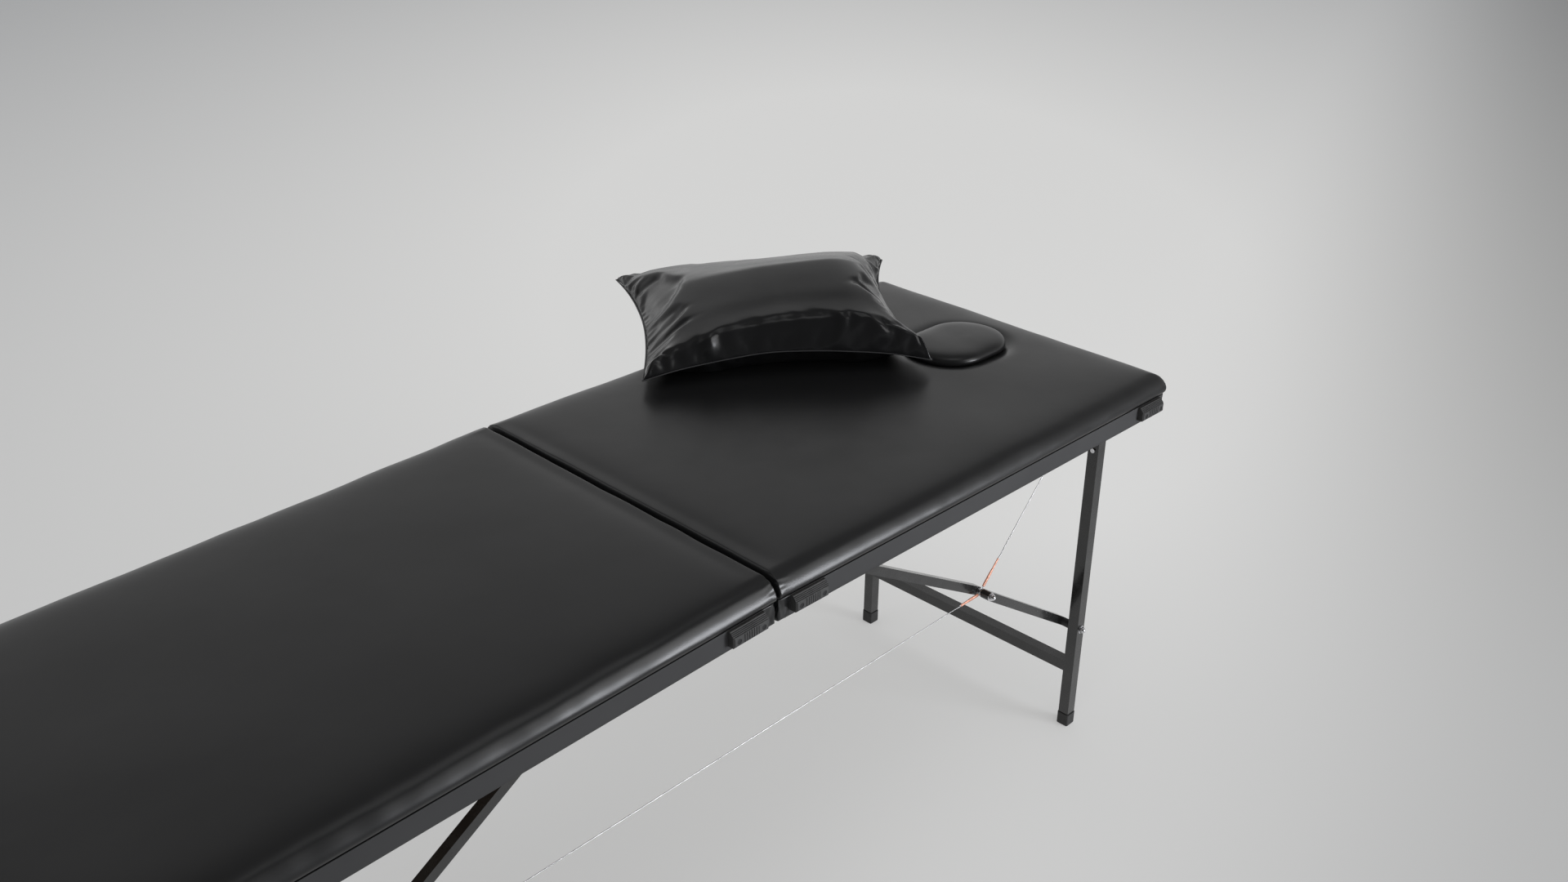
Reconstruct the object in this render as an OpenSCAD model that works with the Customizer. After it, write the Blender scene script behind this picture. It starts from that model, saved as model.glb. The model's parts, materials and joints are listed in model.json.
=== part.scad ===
// Folding treatment couch with cable-braced legs, a loose pillow and a face-hole plug.
// X runs along the couch with the head end at +X, and Z is up from the floor.
// Each half is drawn flat, from the hinge line outwards, and then sloped down a little.

/* [Couch] */
// Length of the open couch
couch_len = 1800; // [1700:10:2000]
// Width across the steel band
couch_w = 615; // [560:5:700]
// Height of the pads' underside at the centre hinge
hinge_h = 641; // [600:1:720]
// Gap between the two halves at the hinge line
hinge_gap = 4; // [3:0.5:8]
// Slope of each half, down from the hinge
crown_deg = 1.06; // [0:0.01:2]
// Place of the couch's centre line across the whole outline, pillow included
centre_y = -126; // [-140:1:-90]

/* [Pads] */
// Thickness of the leatherette cover
skin = 1; // [0.8:0.1:1.5]
// Height of the pad's rounded edge
pad_h = 61; // [58:1:75]
// Rise of the pad's middle over its edge
crown_rise = 6; // [2:0.5:8]
// How far the foam swells past the band
bulge = 1.5; // [0.5:0.1:1.6]
// Depth of the crease between band and foam
pinch = 1.5; // [0.5:0.1:2]
// Width of the rounded top edge
edge_run = 13; // [12:1:30]
// Corner radius seen from above
corner_r = 12; // [8:1:20]
// Width of the cover turned in under the frame
hem_w = 15; // [12:1:20]
// Thickness of the board under the foam
board_t = 3; // [2:0.5:6]

/* [Frame tube] */
// Height of the frame tube
rail_h = 30; // [25:1:31]
// Width of the frame tube
rail_w = 20; // [15:1:22]
// Wall of the frame tube
rail_wall = 1.2; // [1:0.1:1.6]
// Distance from the hinge line to the rail that carries the braces
brace_rail_in = 46; // [40:1:52]

/* [Legs] */
// Width of the square leg tube
leg_w = 20; // [16:1:24]
// Wall of the leg tube
leg_wall = 1.2; // [1:0.1:1.6]
// Distance from the end of the couch to the legs
leg_in = 75; // [70:1:100]
// Distance from the centre line to each leg
leg_y = 236; // [220:1:246]
// Height of the leg's pivot above the pads' underside
leg_pivot_h = 4; // [3:0.5:6]
// Height of the crossbar's middle above the floor
crossbar_up = 123; // [110:1:150]
// Height of the brace bolt above the floor
brace_bolt_up = 204.5; // [190:0.5:240]
// Width of the foot cap
cap_w = 23; // [22:0.5:28]
// Height of the foot cap
cap_h = 24; // [18:1:30]

/* [Braces] */
// Width of the square brace tube
link_w = 15; // [12:1:15]
// Wall of the brace tube
link_wall = 1.2; // [1:0.1:1.6]
// Distance from the hinge line to the upper brace's pivot
link_pivot_in = 88.5; // [86:0.5:100]
// Height of the upper brace's pivot above the pads' underside
link_pivot_h = 22.7; // [22:0.1:23]
// Distance from the centre line to the upper brace
upper_y = 178; // [160:1:190]
// Distance from the centre line to the lower brace
lower_y = 202; // [196:1:206]
// Place of the knee along the line from pivot to leg bolt
knee_share = 0.681; // [0.6:0.001:0.75]
// Rise of the knee over that line
knee_rise = 12.3; // [0:0.1:20]
// Radius of the pivot bolts
bolt_r = 3; // [2.5:0.25:3.5]

/* [Cables] */
// Diameter of the steel cable
cable_d = 1.6; // [1.2:0.1:2.4]
// Diameter of the sleeves at the knees
sleeve_d = 4.4; // [4:0.1:5]
// Length of the sleeve on the cable to the end rail
end_sleeve_len = 53; // [30:1:70]
// Length of the sleeve on the cable between the knees
mid_sleeve_len = 45; // [30:1:70]
// Distance from the couch's end to the cable's anchor pin
anchor_in = 40; // [38:1:50]
// Height of the anchor pin above the pads' underside
anchor_h = 11; // [8:1:16]

/* [Centre hinges] */
// Distance from the centre line to each hinge
hinge_y = 180; // [120:5:220]
// Length of a hinge along its pin
hinge_len = 64; // [50:2:80]
// Depth of the hinge pin below the pads' underside
hinge_drop = 7; // [6.5:0.5:9]
// Radius of the hinge knuckle
knuckle_r = 5; // [4:0.5:6]
// Radius of the hinge pin
hinge_pin_r = 2.5; // [2:0.25:3]
// Thickness of the hinge leaf
leaf_t = 2; // [1.5:0.25:3]
// Reach of the hinge leaf
leaf_reach = 26; // [22:1:28]

/* [Corner blocks] */
// Length of a ribbed block
block_len = 60; // [50:1:80]
// Height of a ribbed block
block_h = 22; // [18:1:24]
// How far a block stands out from the band
block_out = 11; // [8:1:14]
// Height of a block's underside over the band's
block_low = 9; // [6:1:10]
// Distance from the hinge line to each inner block
inner_block_in = 24; // [8:1:40]
// Distance from the couch's end to each outer block
outer_block_in = 22; // [8:1:40]

/* [Pillow] */
// Length of the pillow from ear to ear
pillow_len = 458; // [380:5:480]
// Width of the pillow from ear to ear
pillow_w = 428; // [350:5:430]
// Height of the pillow over its seam
pillow_over = 94; // [50:1:100]
// Depth of the pillow under its seam
pillow_under = 29; // [25:1:50]
// How far the pillow's sides draw in between its ears, as a share
pillow_draw_share = 0.1; // [0.08:0.01:0.15]
// Distance from the head end to the pillow's middle
pillow_in = 351; // [340:1:400]
// Distance from the centre line to the pillow's middle
pillow_y = 266; // [255:1:290]
// Turn of the pillow seen from above
pillow_turn = -34.5; // [-40:0.5:-30]

/* [Face plug] */
// Radius of the plug's round ends
plug_r = 69; // [60:1:72]
// Distance between the centres of its round ends
plug_span = 44; // [30:1:50]
// Height of the plug's raised cap
plug_rise = 16; // [14:1:30]
// How far the cap reaches past the face hole
plug_lip = 11; // [8:1:14]
// Play of the plug in the face hole
plug_play = 2; // [1:0.5:4]
// Distance from the head end to the middle of the face hole
plug_in = 165; // [150:1:170]

/* [Handle and latches] */
// Length of the carry handle
handle_len = 116; // [100:2:140]
// Drop of the hanging handle
handle_drop = 26; // [24:1:36]
// Radius of the handle's grip
grip_r = 5; // [4:0.5:5]
// Width of a latch
latch_w = 24; // [20:1:32]
// Length of a latch lever
latch_len = 32; // [26:1:36]

/* [Hidden] */
$fn = 32;

// Which half a module draws
FOOT = -1;
HEAD = 1;

// Clearances and cuts
overrun = 2;         // how far a cut runs past what it cuts
fit = 0.05;          // radial play of a bolt in its hole
rest_gap = 0.3;      // space under a loose or soft piece
side_play = 0.4;     // space beside a moving tube
cover_play = 0.5;    // space between the cover and the board's edge

// Lengths along a half, measured from the hinge line
half_start = hinge_gap / 2;
half_end = couch_len / 2;
half_len = half_end - half_start;
frame_start = half_start + skin;
frame_end = half_end - skin;
rail_inner_y = couch_w / 2 - skin - rail_w;
board_h = skin + rail_h;
band_h = board_h + board_t;
deck_h = pad_h + crown_rise;

// Leg and brace points in a half, as places along it and heights over its underside
leg_s = half_end - leg_in;
floor_drop = (hinge_h - leg_s * sin(crown_deg)) / cos(crown_deg);
bolt_s = leg_s;
bolt_h = brace_bolt_up / cos(crown_deg) - floor_drop;
crossbar_h = crossbar_up / cos(crown_deg) - floor_drop;
brace_run = bolt_s - link_pivot_in;
brace_fall = link_pivot_h - bolt_h;
brace_span = norm([brace_run, brace_fall]);
knee_s = link_pivot_in + knee_share * brace_run + knee_rise * brace_fall / brace_span;
knee_h = link_pivot_h - knee_share * brace_fall + knee_rise * brace_run / brace_span;
upper_len = norm([knee_s - link_pivot_in, link_pivot_h - knee_h]);
upper_slope = atan2(link_pivot_h - knee_h, knee_s - link_pivot_in);
lower_len = norm([bolt_s - knee_s, knee_h - bolt_h]);
lower_slope = atan2(knee_h - bolt_h, bolt_s - knee_s);

// Knee, with its spool and the two cable eyes side by side
washer_t = 1;
washer_r = 7.4;
knee_gap = 0.5;
spool_start = upper_y + link_w / 2;
spool_end = lower_y - link_w / 2 - knee_gap;
spool_r = 4.5;
cable_pitch = 3;
end_cable_y = (spool_start + spool_end) / 2 - cable_pitch / 2;
mid_cable_y = end_cable_y + cable_pitch;
eye_play = 0.2;
sleeve_start = 10;
knee_x = knee_s * cos(crown_deg) + knee_h * sin(crown_deg);
knee_z = hinge_h - knee_s * sin(crown_deg) + knee_h * cos(crown_deg);

// Cable anchor
anchor_s = half_end - anchor_in;
anchor_pin_r = 2.5;
anchor_tab_t = 2.5;
anchor_tab_h = 16;
anchor_tab_y = mid_cable_y + cable_pitch;
anchor_head_r = 4.5;
anchor_head_t = 1.5;
anchor_run = anchor_s - knee_s;
anchor_climb = anchor_h - knee_h;

// Brackets and bolts
ear_t = 2.5;
ear_edge = 8;
ear_low = 12;
bolt_head_r = 6;
bolt_head_t = 4;
dome_nut_r = 6;
dome_nut_t = 4;
dome_r = 4.6;
spacer_r = 7.5;
leg_top = leg_w / 2;

// Foot cap
cap_floor = 4;
cap_play = 0.2;
cap_round = 3;
cap_press = 0.6;     // how much of the rounded underside the floor flattens
cap_neck = cap_w / 2 - cap_round;

// Small bright screw in each leg
leg_screw_drop = 74;
leg_screw_r = 2;
leg_screw_head_r = 4;
leg_screw_head_t = 2.4;

// Ribbed blocks and the frame's screws
block_chamfer = 2;
block_slope_share = 0.62;   // where the grooved slope starts, as a share of the block's height
block_top_share = 0.35;     // how far out the slope ends, as a share of the block's reach
groove_count = 4;
groove_deep = 0.8;
groove_half_share = 0.3;      // half a groove's width, as a share of the pitch
rib_count = 7;
rib_pitch = 4;
rib_w = 1.4;
rib_deep = 0.6;
block_screw_in = 9;
block_screw_h = 7.5;
screw_r = 2;
screw_head_r = 3.6;
screw_head_t = 1.6;
screw_sink = 2;

// Centre hinges
knuckle_gap = 0.4;
mid_knuckle_share = 0.36;
mid_knuckle = hinge_len * mid_knuckle_share;
axle_s = hinge_drop * sin(crown_deg);
axle_h = -hinge_drop * cos(crown_deg);
leaf_start = knuckle_r + knuckle_gap;
leaf_screw_in = 8;
leaf_screw_apart = 40;
pin_head_t = 1.5;
pin_head_r = 3.6;

// Handle, on the far side of the foot half
handle_s = half_start + half_len / 2;
handle_axle_h = 22;
handle_out = 7;
handle_arm_w = 8;
handle_arm_t = 5;
mount_w = 12;
mount_h = 20;
mount_t = 14;

// Latches, on the far side beside the handle
latch_s_shares = [0.2, 0.8];
latch_axle_h = 14;
latch_out = 8;
latch_pin_r = 1.5;
latch_plate_t = 1.5;
latch_base_w = 34;
latch_base_h = 22;
latch_ear_t = 2;
latch_ear_r = 3;
lever_t = 2;
lever_hook = 4;
catch_low = 4;
catch_h = 12;
catch_out = 6;
catch_lip = 3;

// Surfaces of the soft pieces
corner_steps = 6;
edge_steps = 5;
crown_shares = [[0.3, 0.5], [0.62, 0.85], [1, 1]];
crown_run = 92;
pillow_ring_shares = [0.985, 0.95, 0.9, 0.83, 0.7, 0.45];
pillow_side_steps = 12;
pillow_flat_power = 5;      // how flat the pillow's underside is
pillow_crown_power = 2.6;   // how flat its top is
pillow_wall_power = 0.5;
plug_steps = 10;
plug_round_steps = 4;
plug_edge = 13;
plug_crown = 4;

// Placing

// Draws in a half's own frame: x from the hinge line outwards, z from the pads' underside
module half(side) {
    translate([0, centre_y, hinge_h])
        mirror([side == FOOT ? 1 : 0, 0, 0])
            rotate([0, crown_deg, 0])
                children();
}

// Draws a piece on the far side of the centre line and its twin on the near side
module both_sides() {
    children();
    mirror([0, 1, 0]) children();
}

// A rod along y between two places
module rod_y(s, h, r, y0, y1) {
    translate([s, y1, h]) rotate([90, 0, 0]) cylinder(r = r, h = y1 - y0);
}

// A hexagon along y between two places
module hex_y(s, h, r, y0, y1) {
    translate([s, y1, h]) rotate([90, 0, 0]) cylinder(r = r, h = y1 - y0, $fn = 6);
}

// A domed nut standing on the plane y0, towards +y
module dome_nut(s, h, y0) {
    hex_y(s, h, dome_nut_r, y0, y0 + dome_nut_t);
    difference() {
        translate([s, y0 + dome_nut_t, h]) sphere(r = dome_r);
        translate([s - dome_nut_r, y0 - dome_r, h - dome_nut_r])
            cube([2 * dome_nut_r, dome_r + dome_nut_t / 2, 2 * dome_nut_r]);
    }
}

// A square tube along x, centred on its axis
module box_tube_x(len, wide, tall, wall) {
    difference() {
        translate([0, -wide / 2, -tall / 2]) cube([len, wide, tall]);
        translate([-overrun, wall - wide / 2, wall - tall / 2])
            cube([len + 2 * overrun, wide - 2 * wall, tall - 2 * wall]);
    }
}

// Soft surfaces

// Joins rings of points into one closed skin with a tip at each end
module ring_stack(rings, low_tip, high_tip) {
    n = len(rings[0]);
    m = len(rings);
    points = concat([low_tip], [for (ring = rings) each ring], [high_tip]);
    faces = concat(
        [for (i = [0:n - 1]) [0, 1 + i, 1 + (i + 1) % n]],
        [for (j = [0:m - 2], i = [0:n - 1])
            [1 + j * n + i, 1 + (j + 1) * n + i, 1 + (j + 1) * n + (i + 1) % n]],
        [for (j = [0:m - 2], i = [0:n - 1])
            [1 + j * n + i, 1 + (j + 1) * n + (i + 1) % n, 1 + j * n + (i + 1) % n]],
        [for (i = [0:n - 1]) [1 + m * n, 1 + (m - 1) * n + (i + 1) % n, 1 + (m - 1) * n + i]]
    );
    polyhedron(points = points, faces = faces, convexity = 4);
}

// One outline of a pad, drawn in from the band by inset, at height h
function pad_ring(inset, h) =
    let (r = max(corner_r - inset, corner_r / 4))
    [for (q = [0:3], k = [0:corner_steps - 1])
        let (
            a = 90 * q + 90 * k / (corner_steps - 1),
            cx = (q == 0 || q == 3 ? 1 : -1) * (half_len / 2 - inset - r),
            cy = (q < 2 ? 1 : -1) * (couch_w / 2 - inset - r)
        )
        [half_start + half_len / 2 + cx + r * cos(a), cy + r * sin(a), h]];

// The rounded top of a pad, shrunk inwards by off
function pad_top_rings(off) = concat(
    [for (k = [0:edge_steps - 1])
        let (a = 90 * k / (edge_steps - 1), low = (band_h + pad_h) / 2)
        pad_ring(
            (edge_run + bulge) * (1 - cos(a)) - bulge + off * cos(a),
            low + (pad_h - low - off) * sin(a)
        )],
    [for (share = crown_shares)
        pad_ring(edge_run + share[0] * (crown_run - edge_run), pad_h + share[1] * crown_rise - off)]
);

module pad_skin(off, low) {
    rings = concat(
        [pad_ring(off, low), pad_ring(off, band_h - pinch), pad_ring(pinch + off, band_h)],
        pad_top_rings(off)
    );
    middle = half_start + half_len / 2;
    ring_stack(rings, [middle, 0, low], [middle, 0, deck_h - off]);
}

module pad_core(off) {
    rings = concat([pad_ring(pinch + off, band_h)], pad_top_rings(off));
    middle = half_start + half_len / 2;
    ring_stack(rings, [middle, 0, band_h], [middle, 0, deck_h - off]);
}

// The outline of the face hole and its plug, grown or shrunk by off
module oval(off) {
    for (end = [-1, 1])
        translate([end * plug_span / 2, 0]) circle(r = plug_r + off);
    square([plug_span, 2 * (plug_r + off)], center = true);
}

module face_hole(low, high) {
    translate([half_end - plug_in, 0, low]) linear_extrude(high - low) oval(-plug_lip);
}

// Pads

module cover(side) {
    color([0.07, 0.07, 0.075]) half(side) difference() {
        pad_skin(0, 0);
        pad_skin(skin, skin);
        translate([half_start + hem_w, hem_w - couch_w / 2, -overrun])
            cube([half_len - 2 * hem_w, couch_w - 2 * hem_w, skin + 2 * overrun]);
        if (side == HEAD) face_hole(0, deck_h + overrun);
    }
}

module foam(side) {
    color([0.85, 0.82, 0.7]) half(side) difference() {
        pad_core(skin + rest_gap);
        if (side == HEAD) face_hole(0, deck_h + overrun);
    }
}

// The outline of a half seen from above, drawn in from the band, with round corners
module half_plan(inset) {
    x = half_len / 2 - inset;
    y = couch_w / 2 - inset;
    translate([half_start + half_len / 2, 0]) {
        square([2 * (x - corner_r), 2 * y], center = true);
        square([2 * x, 2 * (y - corner_r)], center = true);
        for (across = [-1, 1], along = [-1, 1])
            translate([along * (x - corner_r), across * (y - corner_r)]) circle(r = corner_r);
    }
}

module board(side) {
    color([0.62, 0.5, 0.36]) half(side) difference() {
        translate([0, 0, board_h]) linear_extrude(board_t) half_plan(skin + pinch + cover_play);
        if (side == HEAD) face_hole(board_h - overrun, board_h + board_t + overrun);
    }
}

// Frame

// The side rails' ends are closed and rounded to the corners of the cover
module side_rails(side) {
    hollow = half_len - 2 * (skin + corner_r + rail_wall);
    color([0.12, 0.12, 0.13]) half(side) difference() {
        translate([0, 0, skin]) linear_extrude(rail_h) difference() {
            half_plan(skin);
            translate([half_start - overrun, -rail_inner_y])
                square([half_len + 2 * overrun, 2 * rail_inner_y]);
        }
        both_sides()
            translate([
                half_start + half_len / 2 - hollow / 2,
                rail_inner_y + rail_wall,
                skin + rail_wall
            ]) cube([hollow, rail_w - 2 * rail_wall, rail_h - 2 * rail_wall]);
    }
}

module cross_rails(side) {
    starts = [frame_start, brace_rail_in, frame_end - rail_w];
    color([0.12, 0.12, 0.13]) half(side)
        for (start = starts)
            translate([start + rail_w / 2, -rail_inner_y, skin + rail_h / 2]) rotate([0, 0, 90])
                box_tube_x(2 * rail_inner_y, rail_w, rail_h, rail_wall);
}

// A pair of ears with a web, open towards the end `tip`, round a tube of width w at y
module bracket(root, tip, low, high, y, w, pivot_s, pivot_h) {
    inner = y - w / 2 - side_play - ear_t;
    wide = w + 2 * side_play + 2 * ear_t;
    out = tip > root ? 1 : -1;
    web = out > 0 ? root : root - ear_t;
    difference() {
        union() {
            for (ear_y = [inner, inner + wide - ear_t])
                translate([min(root, tip), ear_y, low]) cube([abs(tip - root), ear_t, high - low]);
            translate([web, inner, low]) cube([ear_t, wide, high - low]);
        }
        rod_y(pivot_s, pivot_h, bolt_r + fit, inner - overrun, inner + wide + overrun);
    }
}

module link_brackets(side) {
    color([0.14, 0.14, 0.15]) half(side) both_sides()
        bracket(
            brace_rail_in + rail_w, link_pivot_in + ear_edge,
            ear_low, board_h - side_play, upper_y, link_w, link_pivot_in, link_pivot_h
        );
}

module leg_brackets(side) {
    color([0.14, 0.14, 0.15]) half(side) both_sides()
        bracket(
            frame_end - rail_w, leg_s - ear_edge,
            leg_pivot_h - ear_edge, board_h - ear_low, leg_y, leg_w, leg_s, leg_pivot_h
        );
}

// A bolt with its head towards the couch's middle and a nut outside, through a bracket
module bracket_bolt(s, h, y, w) {
    inner = y - w / 2 - side_play - ear_t;
    outer = y + w / 2 + side_play + ear_t;
    rod_y(s, h, bolt_r, inner - bolt_head_t / 2, outer + bolt_head_t / 2);
    hex_y(s, h, bolt_head_r, inner - bolt_head_t, inner);
    hex_y(s, h, bolt_head_r, outer, outer + bolt_head_t);
}

module pivot_bolts(side) {
    color([0.75, 0.75, 0.77]) half(side) both_sides() {
        bracket_bolt(link_pivot_in, link_pivot_h, upper_y, link_w);
        bracket_bolt(leg_s, leg_pivot_h, leg_y, leg_w);
    }
}

// Where a half's ribbed blocks start, measured from the hinge line
block_starts = [inner_block_in, half_end - outer_block_in - block_len];

// A block's outline seen from its end, with V grooves along its sloping top
function block_profile() =
    let (
        low = [-block_out, block_h * block_slope_share],
        run = [block_out * (1 - block_top_share), block_h * (1 - block_slope_share)],
        inward = [run[1], -run[0]] / norm(run)
    )
    concat(
        [[0, 0], [block_chamfer - block_out, 0], [-block_out, block_chamfer], low],
        [for (k = [1:groove_count], step = [-1, 0, 1])
            low + run * (k + step * groove_half_share) / (groove_count + 1)
                + inward * (step == 0 ? groove_deep : 0)],
        [low + run, [0, block_h]]
    );

module corner_block() {
    tip = block_chamfer - block_out;
    difference() {
        intersection() {
            rotate([90, 0, 90]) linear_extrude(block_len) polygon(block_profile());
            linear_extrude(block_h) polygon([
                [0, 0], [0, tip], [block_chamfer, -block_out],
                [block_len - block_chamfer, -block_out], [block_len, tip], [block_len, 0]
            ]);
        }
        for (k = [0:rib_count - 1])
            translate([
                block_len / 2 + (k - (rib_count - 1) / 2) * rib_pitch - rib_w / 2,
                -block_out - overrun,
                -overrun
            ]) cube([rib_w, rib_deep + overrun, block_h + 2 * overrun]);
        for (at = [block_screw_in, block_len - block_screw_in]) {
            rod_y(at, block_screw_h, screw_r + fit, -block_out - overrun, overrun);
            rod_y(
                at, block_screw_h, screw_head_r + fit,
                -block_out - overrun, screw_sink - block_out
            );
        }
    }
}

module corner_blocks(side) {
    color([0.1, 0.1, 0.1]) half(side)
        for (start = block_starts)
            translate([start, -couch_w / 2, block_low]) corner_block();
}

// Where a hinge's screws go: along the half and across it
function leaf_screw_places() =
    [for (across = [-1, 1]) [leaf_start + leaf_reach - leaf_screw_in, across * leaf_screw_apart / 2]];

module screws(side) {
    color([0.2, 0.2, 0.21]) half(side) {
        for (start = block_starts, at = [block_screw_in, block_len - block_screw_in])
            translate([start, -couch_w / 2, block_low]) {
                rod_y(at, block_screw_h, screw_r, screw_sink - block_out, 0);
                rod_y(
                    at, block_screw_h, screw_head_r,
                    screw_sink - screw_head_t - block_out, screw_sink - block_out
                );
            }
        both_sides() for (place = leaf_screw_places())
            translate([place[0], hinge_y + place[1], 0]) {
                translate([0, 0, -leaf_t]) cylinder(r = screw_r, h = leaf_t + skin);
                translate([0, 0, -leaf_t - screw_head_t]) cylinder(r = screw_head_r, h = screw_head_t);
            }
    }
}

// Centre hinges, with the outer knuckles on the foot half and the middle one on the head half

function knuckle_spans(side) = side == HEAD
    ? [[-mid_knuckle / 2, mid_knuckle / 2]]
    : [
        [-hinge_len / 2, -mid_knuckle / 2 - knuckle_gap],
        [mid_knuckle / 2 + knuckle_gap, hinge_len / 2]
    ];

module hinge_leaves(side) {
    color([0.72, 0.72, 0.74]) half(side) both_sides() difference() {
        union() {
            translate([leaf_start, hinge_y - hinge_len / 2, -leaf_t])
                cube([leaf_reach, hinge_len, leaf_t]);
            for (span = knuckle_spans(side)) {
                rod_y(axle_s, axle_h, knuckle_r, hinge_y + span[0], hinge_y + span[1]);
                translate([axle_s, hinge_y + span[0], axle_h])
                    cube([leaf_start + leaf_t - axle_s, span[1] - span[0], -axle_h]);
            }
        }
        rod_y(axle_s, axle_h, hinge_pin_r + fit, hinge_y - hinge_len, hinge_y + hinge_len);
        for (place = leaf_screw_places())
            translate([place[0], hinge_y + place[1], -leaf_t - overrun])
                cylinder(r = screw_r + fit, h = leaf_t + 2 * overrun);
    }
}

module hinge_pins() {
    color([0.78, 0.78, 0.8]) translate([0, centre_y, hinge_h]) both_sides() {
        rod_y(0, -hinge_drop, hinge_pin_r, hinge_y - hinge_len / 2, hinge_y + hinge_len / 2);
        for (end = [-hinge_len / 2 - pin_head_t, hinge_len / 2])
            rod_y(0, -hinge_drop, pin_head_r, hinge_y + end, hinge_y + end + pin_head_t);
    }
}

// Legs

module leg_tube() {
    top = leg_pivot_h + leg_top;
    bottom = cap_floor - floor_drop;
    difference() {
        translate([leg_s - leg_w / 2, leg_y - leg_w / 2, bottom])
            cube([leg_w, leg_w, top - bottom]);
        translate([leg_s - leg_w / 2 + leg_wall, leg_y - leg_w / 2 + leg_wall, bottom - overrun])
            cube([leg_w - 2 * leg_wall, leg_w - 2 * leg_wall, top - bottom + 2 * overrun]);
        for (h = [leg_pivot_h, bolt_h])
            rod_y(leg_s, h, bolt_r + fit, leg_y - leg_w, leg_y + leg_w);
        translate([leg_s - leg_w, leg_y, leg_pivot_h - leg_screw_drop]) rotate([0, 90, 0])
            cylinder(r = leg_screw_r + fit, h = leg_w);
    }
}

module legs(side) {
    color([0.09, 0.09, 0.1]) half(side) both_sides() leg_tube();
}

module leg_crossbar(side) {
    reach = leg_y - leg_w / 2;
    color([0.09, 0.09, 0.1]) half(side)
        translate([leg_s, -reach, crossbar_h]) rotate([0, 0, 90])
            box_tube_x(2 * reach, leg_w, leg_w, leg_wall);
}

// A square cap with rounded edges, open at the top for the tube
module leg_cap() {
    pocket = leg_w + 2 * cap_play;
    difference() {
        hull() {
            for (x = [-cap_neck, cap_neck], y = [-cap_neck, cap_neck]) {
                translate([x, y, cap_round - cap_press]) sphere(r = cap_round, $fn = 24);
                translate([x, y, cap_h - cap_floor]) cylinder(r = cap_round, h = cap_floor, $fn = 24);
            }
        }
        translate([-pocket / 2, -pocket / 2, cap_floor]) cube([pocket, pocket, cap_h]);
    }
}

module leg_caps(side) {
    color([0.06, 0.06, 0.06]) difference() {
        half(side) both_sides() translate([leg_s, leg_y, -floor_drop]) leg_cap();
        translate([-couch_len, centre_y - couch_w, -cap_h]) cube([2 * couch_len, 2 * couch_w, cap_h]);
    }
}

module leg_screws(side) {
    color([0.8, 0.8, 0.82]) half(side) both_sides()
        translate([leg_s - leg_w / 2, leg_y, leg_pivot_h - leg_screw_drop]) rotate([0, 90, 0]) {
            cylinder(r = leg_screw_r, h = leg_w / 4);
            translate([0, 0, -leg_screw_head_t])
                cylinder(r = leg_screw_head_r, h = leg_screw_head_t);
        }
}

module brace_bolts(side) {
    inner = lower_y - link_w / 2;
    outer = leg_y + leg_w / 2;
    color([0.8, 0.8, 0.82]) half(side) both_sides() {
        rod_y(bolt_s, bolt_h, bolt_r, inner - bolt_head_t / 2, outer + dome_nut_t);
        hex_y(bolt_s, bolt_h, bolt_head_r, inner - bolt_head_t, inner);
        rod_y(bolt_s, bolt_h, washer_r, outer, outer + washer_t);
        dome_nut(bolt_s, bolt_h, outer + washer_t);
    }
}

module brace_spacers(side) {
    start = lower_y + link_w / 2;
    stop = leg_y - leg_w / 2;
    color([0.06, 0.06, 0.06]) half(side) both_sides() difference() {
        rod_y(bolt_s, bolt_h, spacer_r, start, stop);
        rod_y(bolt_s, bolt_h, bolt_r + fit, start - overrun, stop + overrun);
    }
}

// Braces

// A square tube with rounded closed ends and a bolt hole in each
module link(len) {
    difference() {
        union() {
            translate([0, -link_w / 2, -link_w / 2]) cube([len, link_w, link_w]);
            for (end = [0, len]) rod_y(end, 0, link_w / 2, -link_w / 2, link_w / 2);
        }
        translate([link_w, link_wall - link_w / 2, link_wall - link_w / 2])
            cube([len - 2 * link_w, link_w - 2 * link_wall, link_w - 2 * link_wall]);
        for (end = [0, len]) rod_y(end, 0, bolt_r + fit, -link_w, link_w);
    }
}

module upper_links(side) {
    color([0.09, 0.09, 0.1]) half(side) both_sides()
        translate([link_pivot_in, upper_y, link_pivot_h]) rotate([0, upper_slope, 0])
            link(upper_len);
}

module lower_links(side) {
    color([0.09, 0.09, 0.1]) half(side) both_sides()
        translate([knee_s, lower_y, knee_h]) rotate([0, lower_slope, 0])
            link(lower_len);
}

// The knee bolt's half in the upper brace, with the spool that carries the cable eyes
module knee_spools(side) {
    inner = upper_y - link_w / 2;
    color([0.7, 0.7, 0.72]) half(side) both_sides() {
        rod_y(knee_s, knee_h, bolt_r, inner - bolt_head_t / 2, spool_end);
        hex_y(knee_s, knee_h, bolt_head_r, inner - bolt_head_t, inner);
        rod_y(knee_s, knee_h, spool_r, spool_start, spool_end);
        rod_y(knee_s, knee_h, washer_r, spool_start, spool_start + washer_t);
        rod_y(knee_s, knee_h, washer_r, spool_end - washer_t, spool_end);
    }
}

// The knee bolt's half in the lower brace, with its washer and domed nut
module knee_bolts(side) {
    inner = lower_y - link_w / 2;
    outer = lower_y + link_w / 2;
    color([0.8, 0.8, 0.82]) half(side) both_sides() {
        rod_y(knee_s, knee_h, bolt_r, inner, outer + dome_nut_t);
        rod_y(knee_s, knee_h, washer_r, outer, outer + washer_t);
        dome_nut(knee_s, knee_h, outer + washer_t);
    }
}

// Cables

// A wire eye round a pin of radius r, lying across y
module eye(r) {
    rotate([90, 0, 0]) rotate_extrude() translate([r + eye_play + cable_d / 2, 0]) circle(d = cable_d);
}

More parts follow.
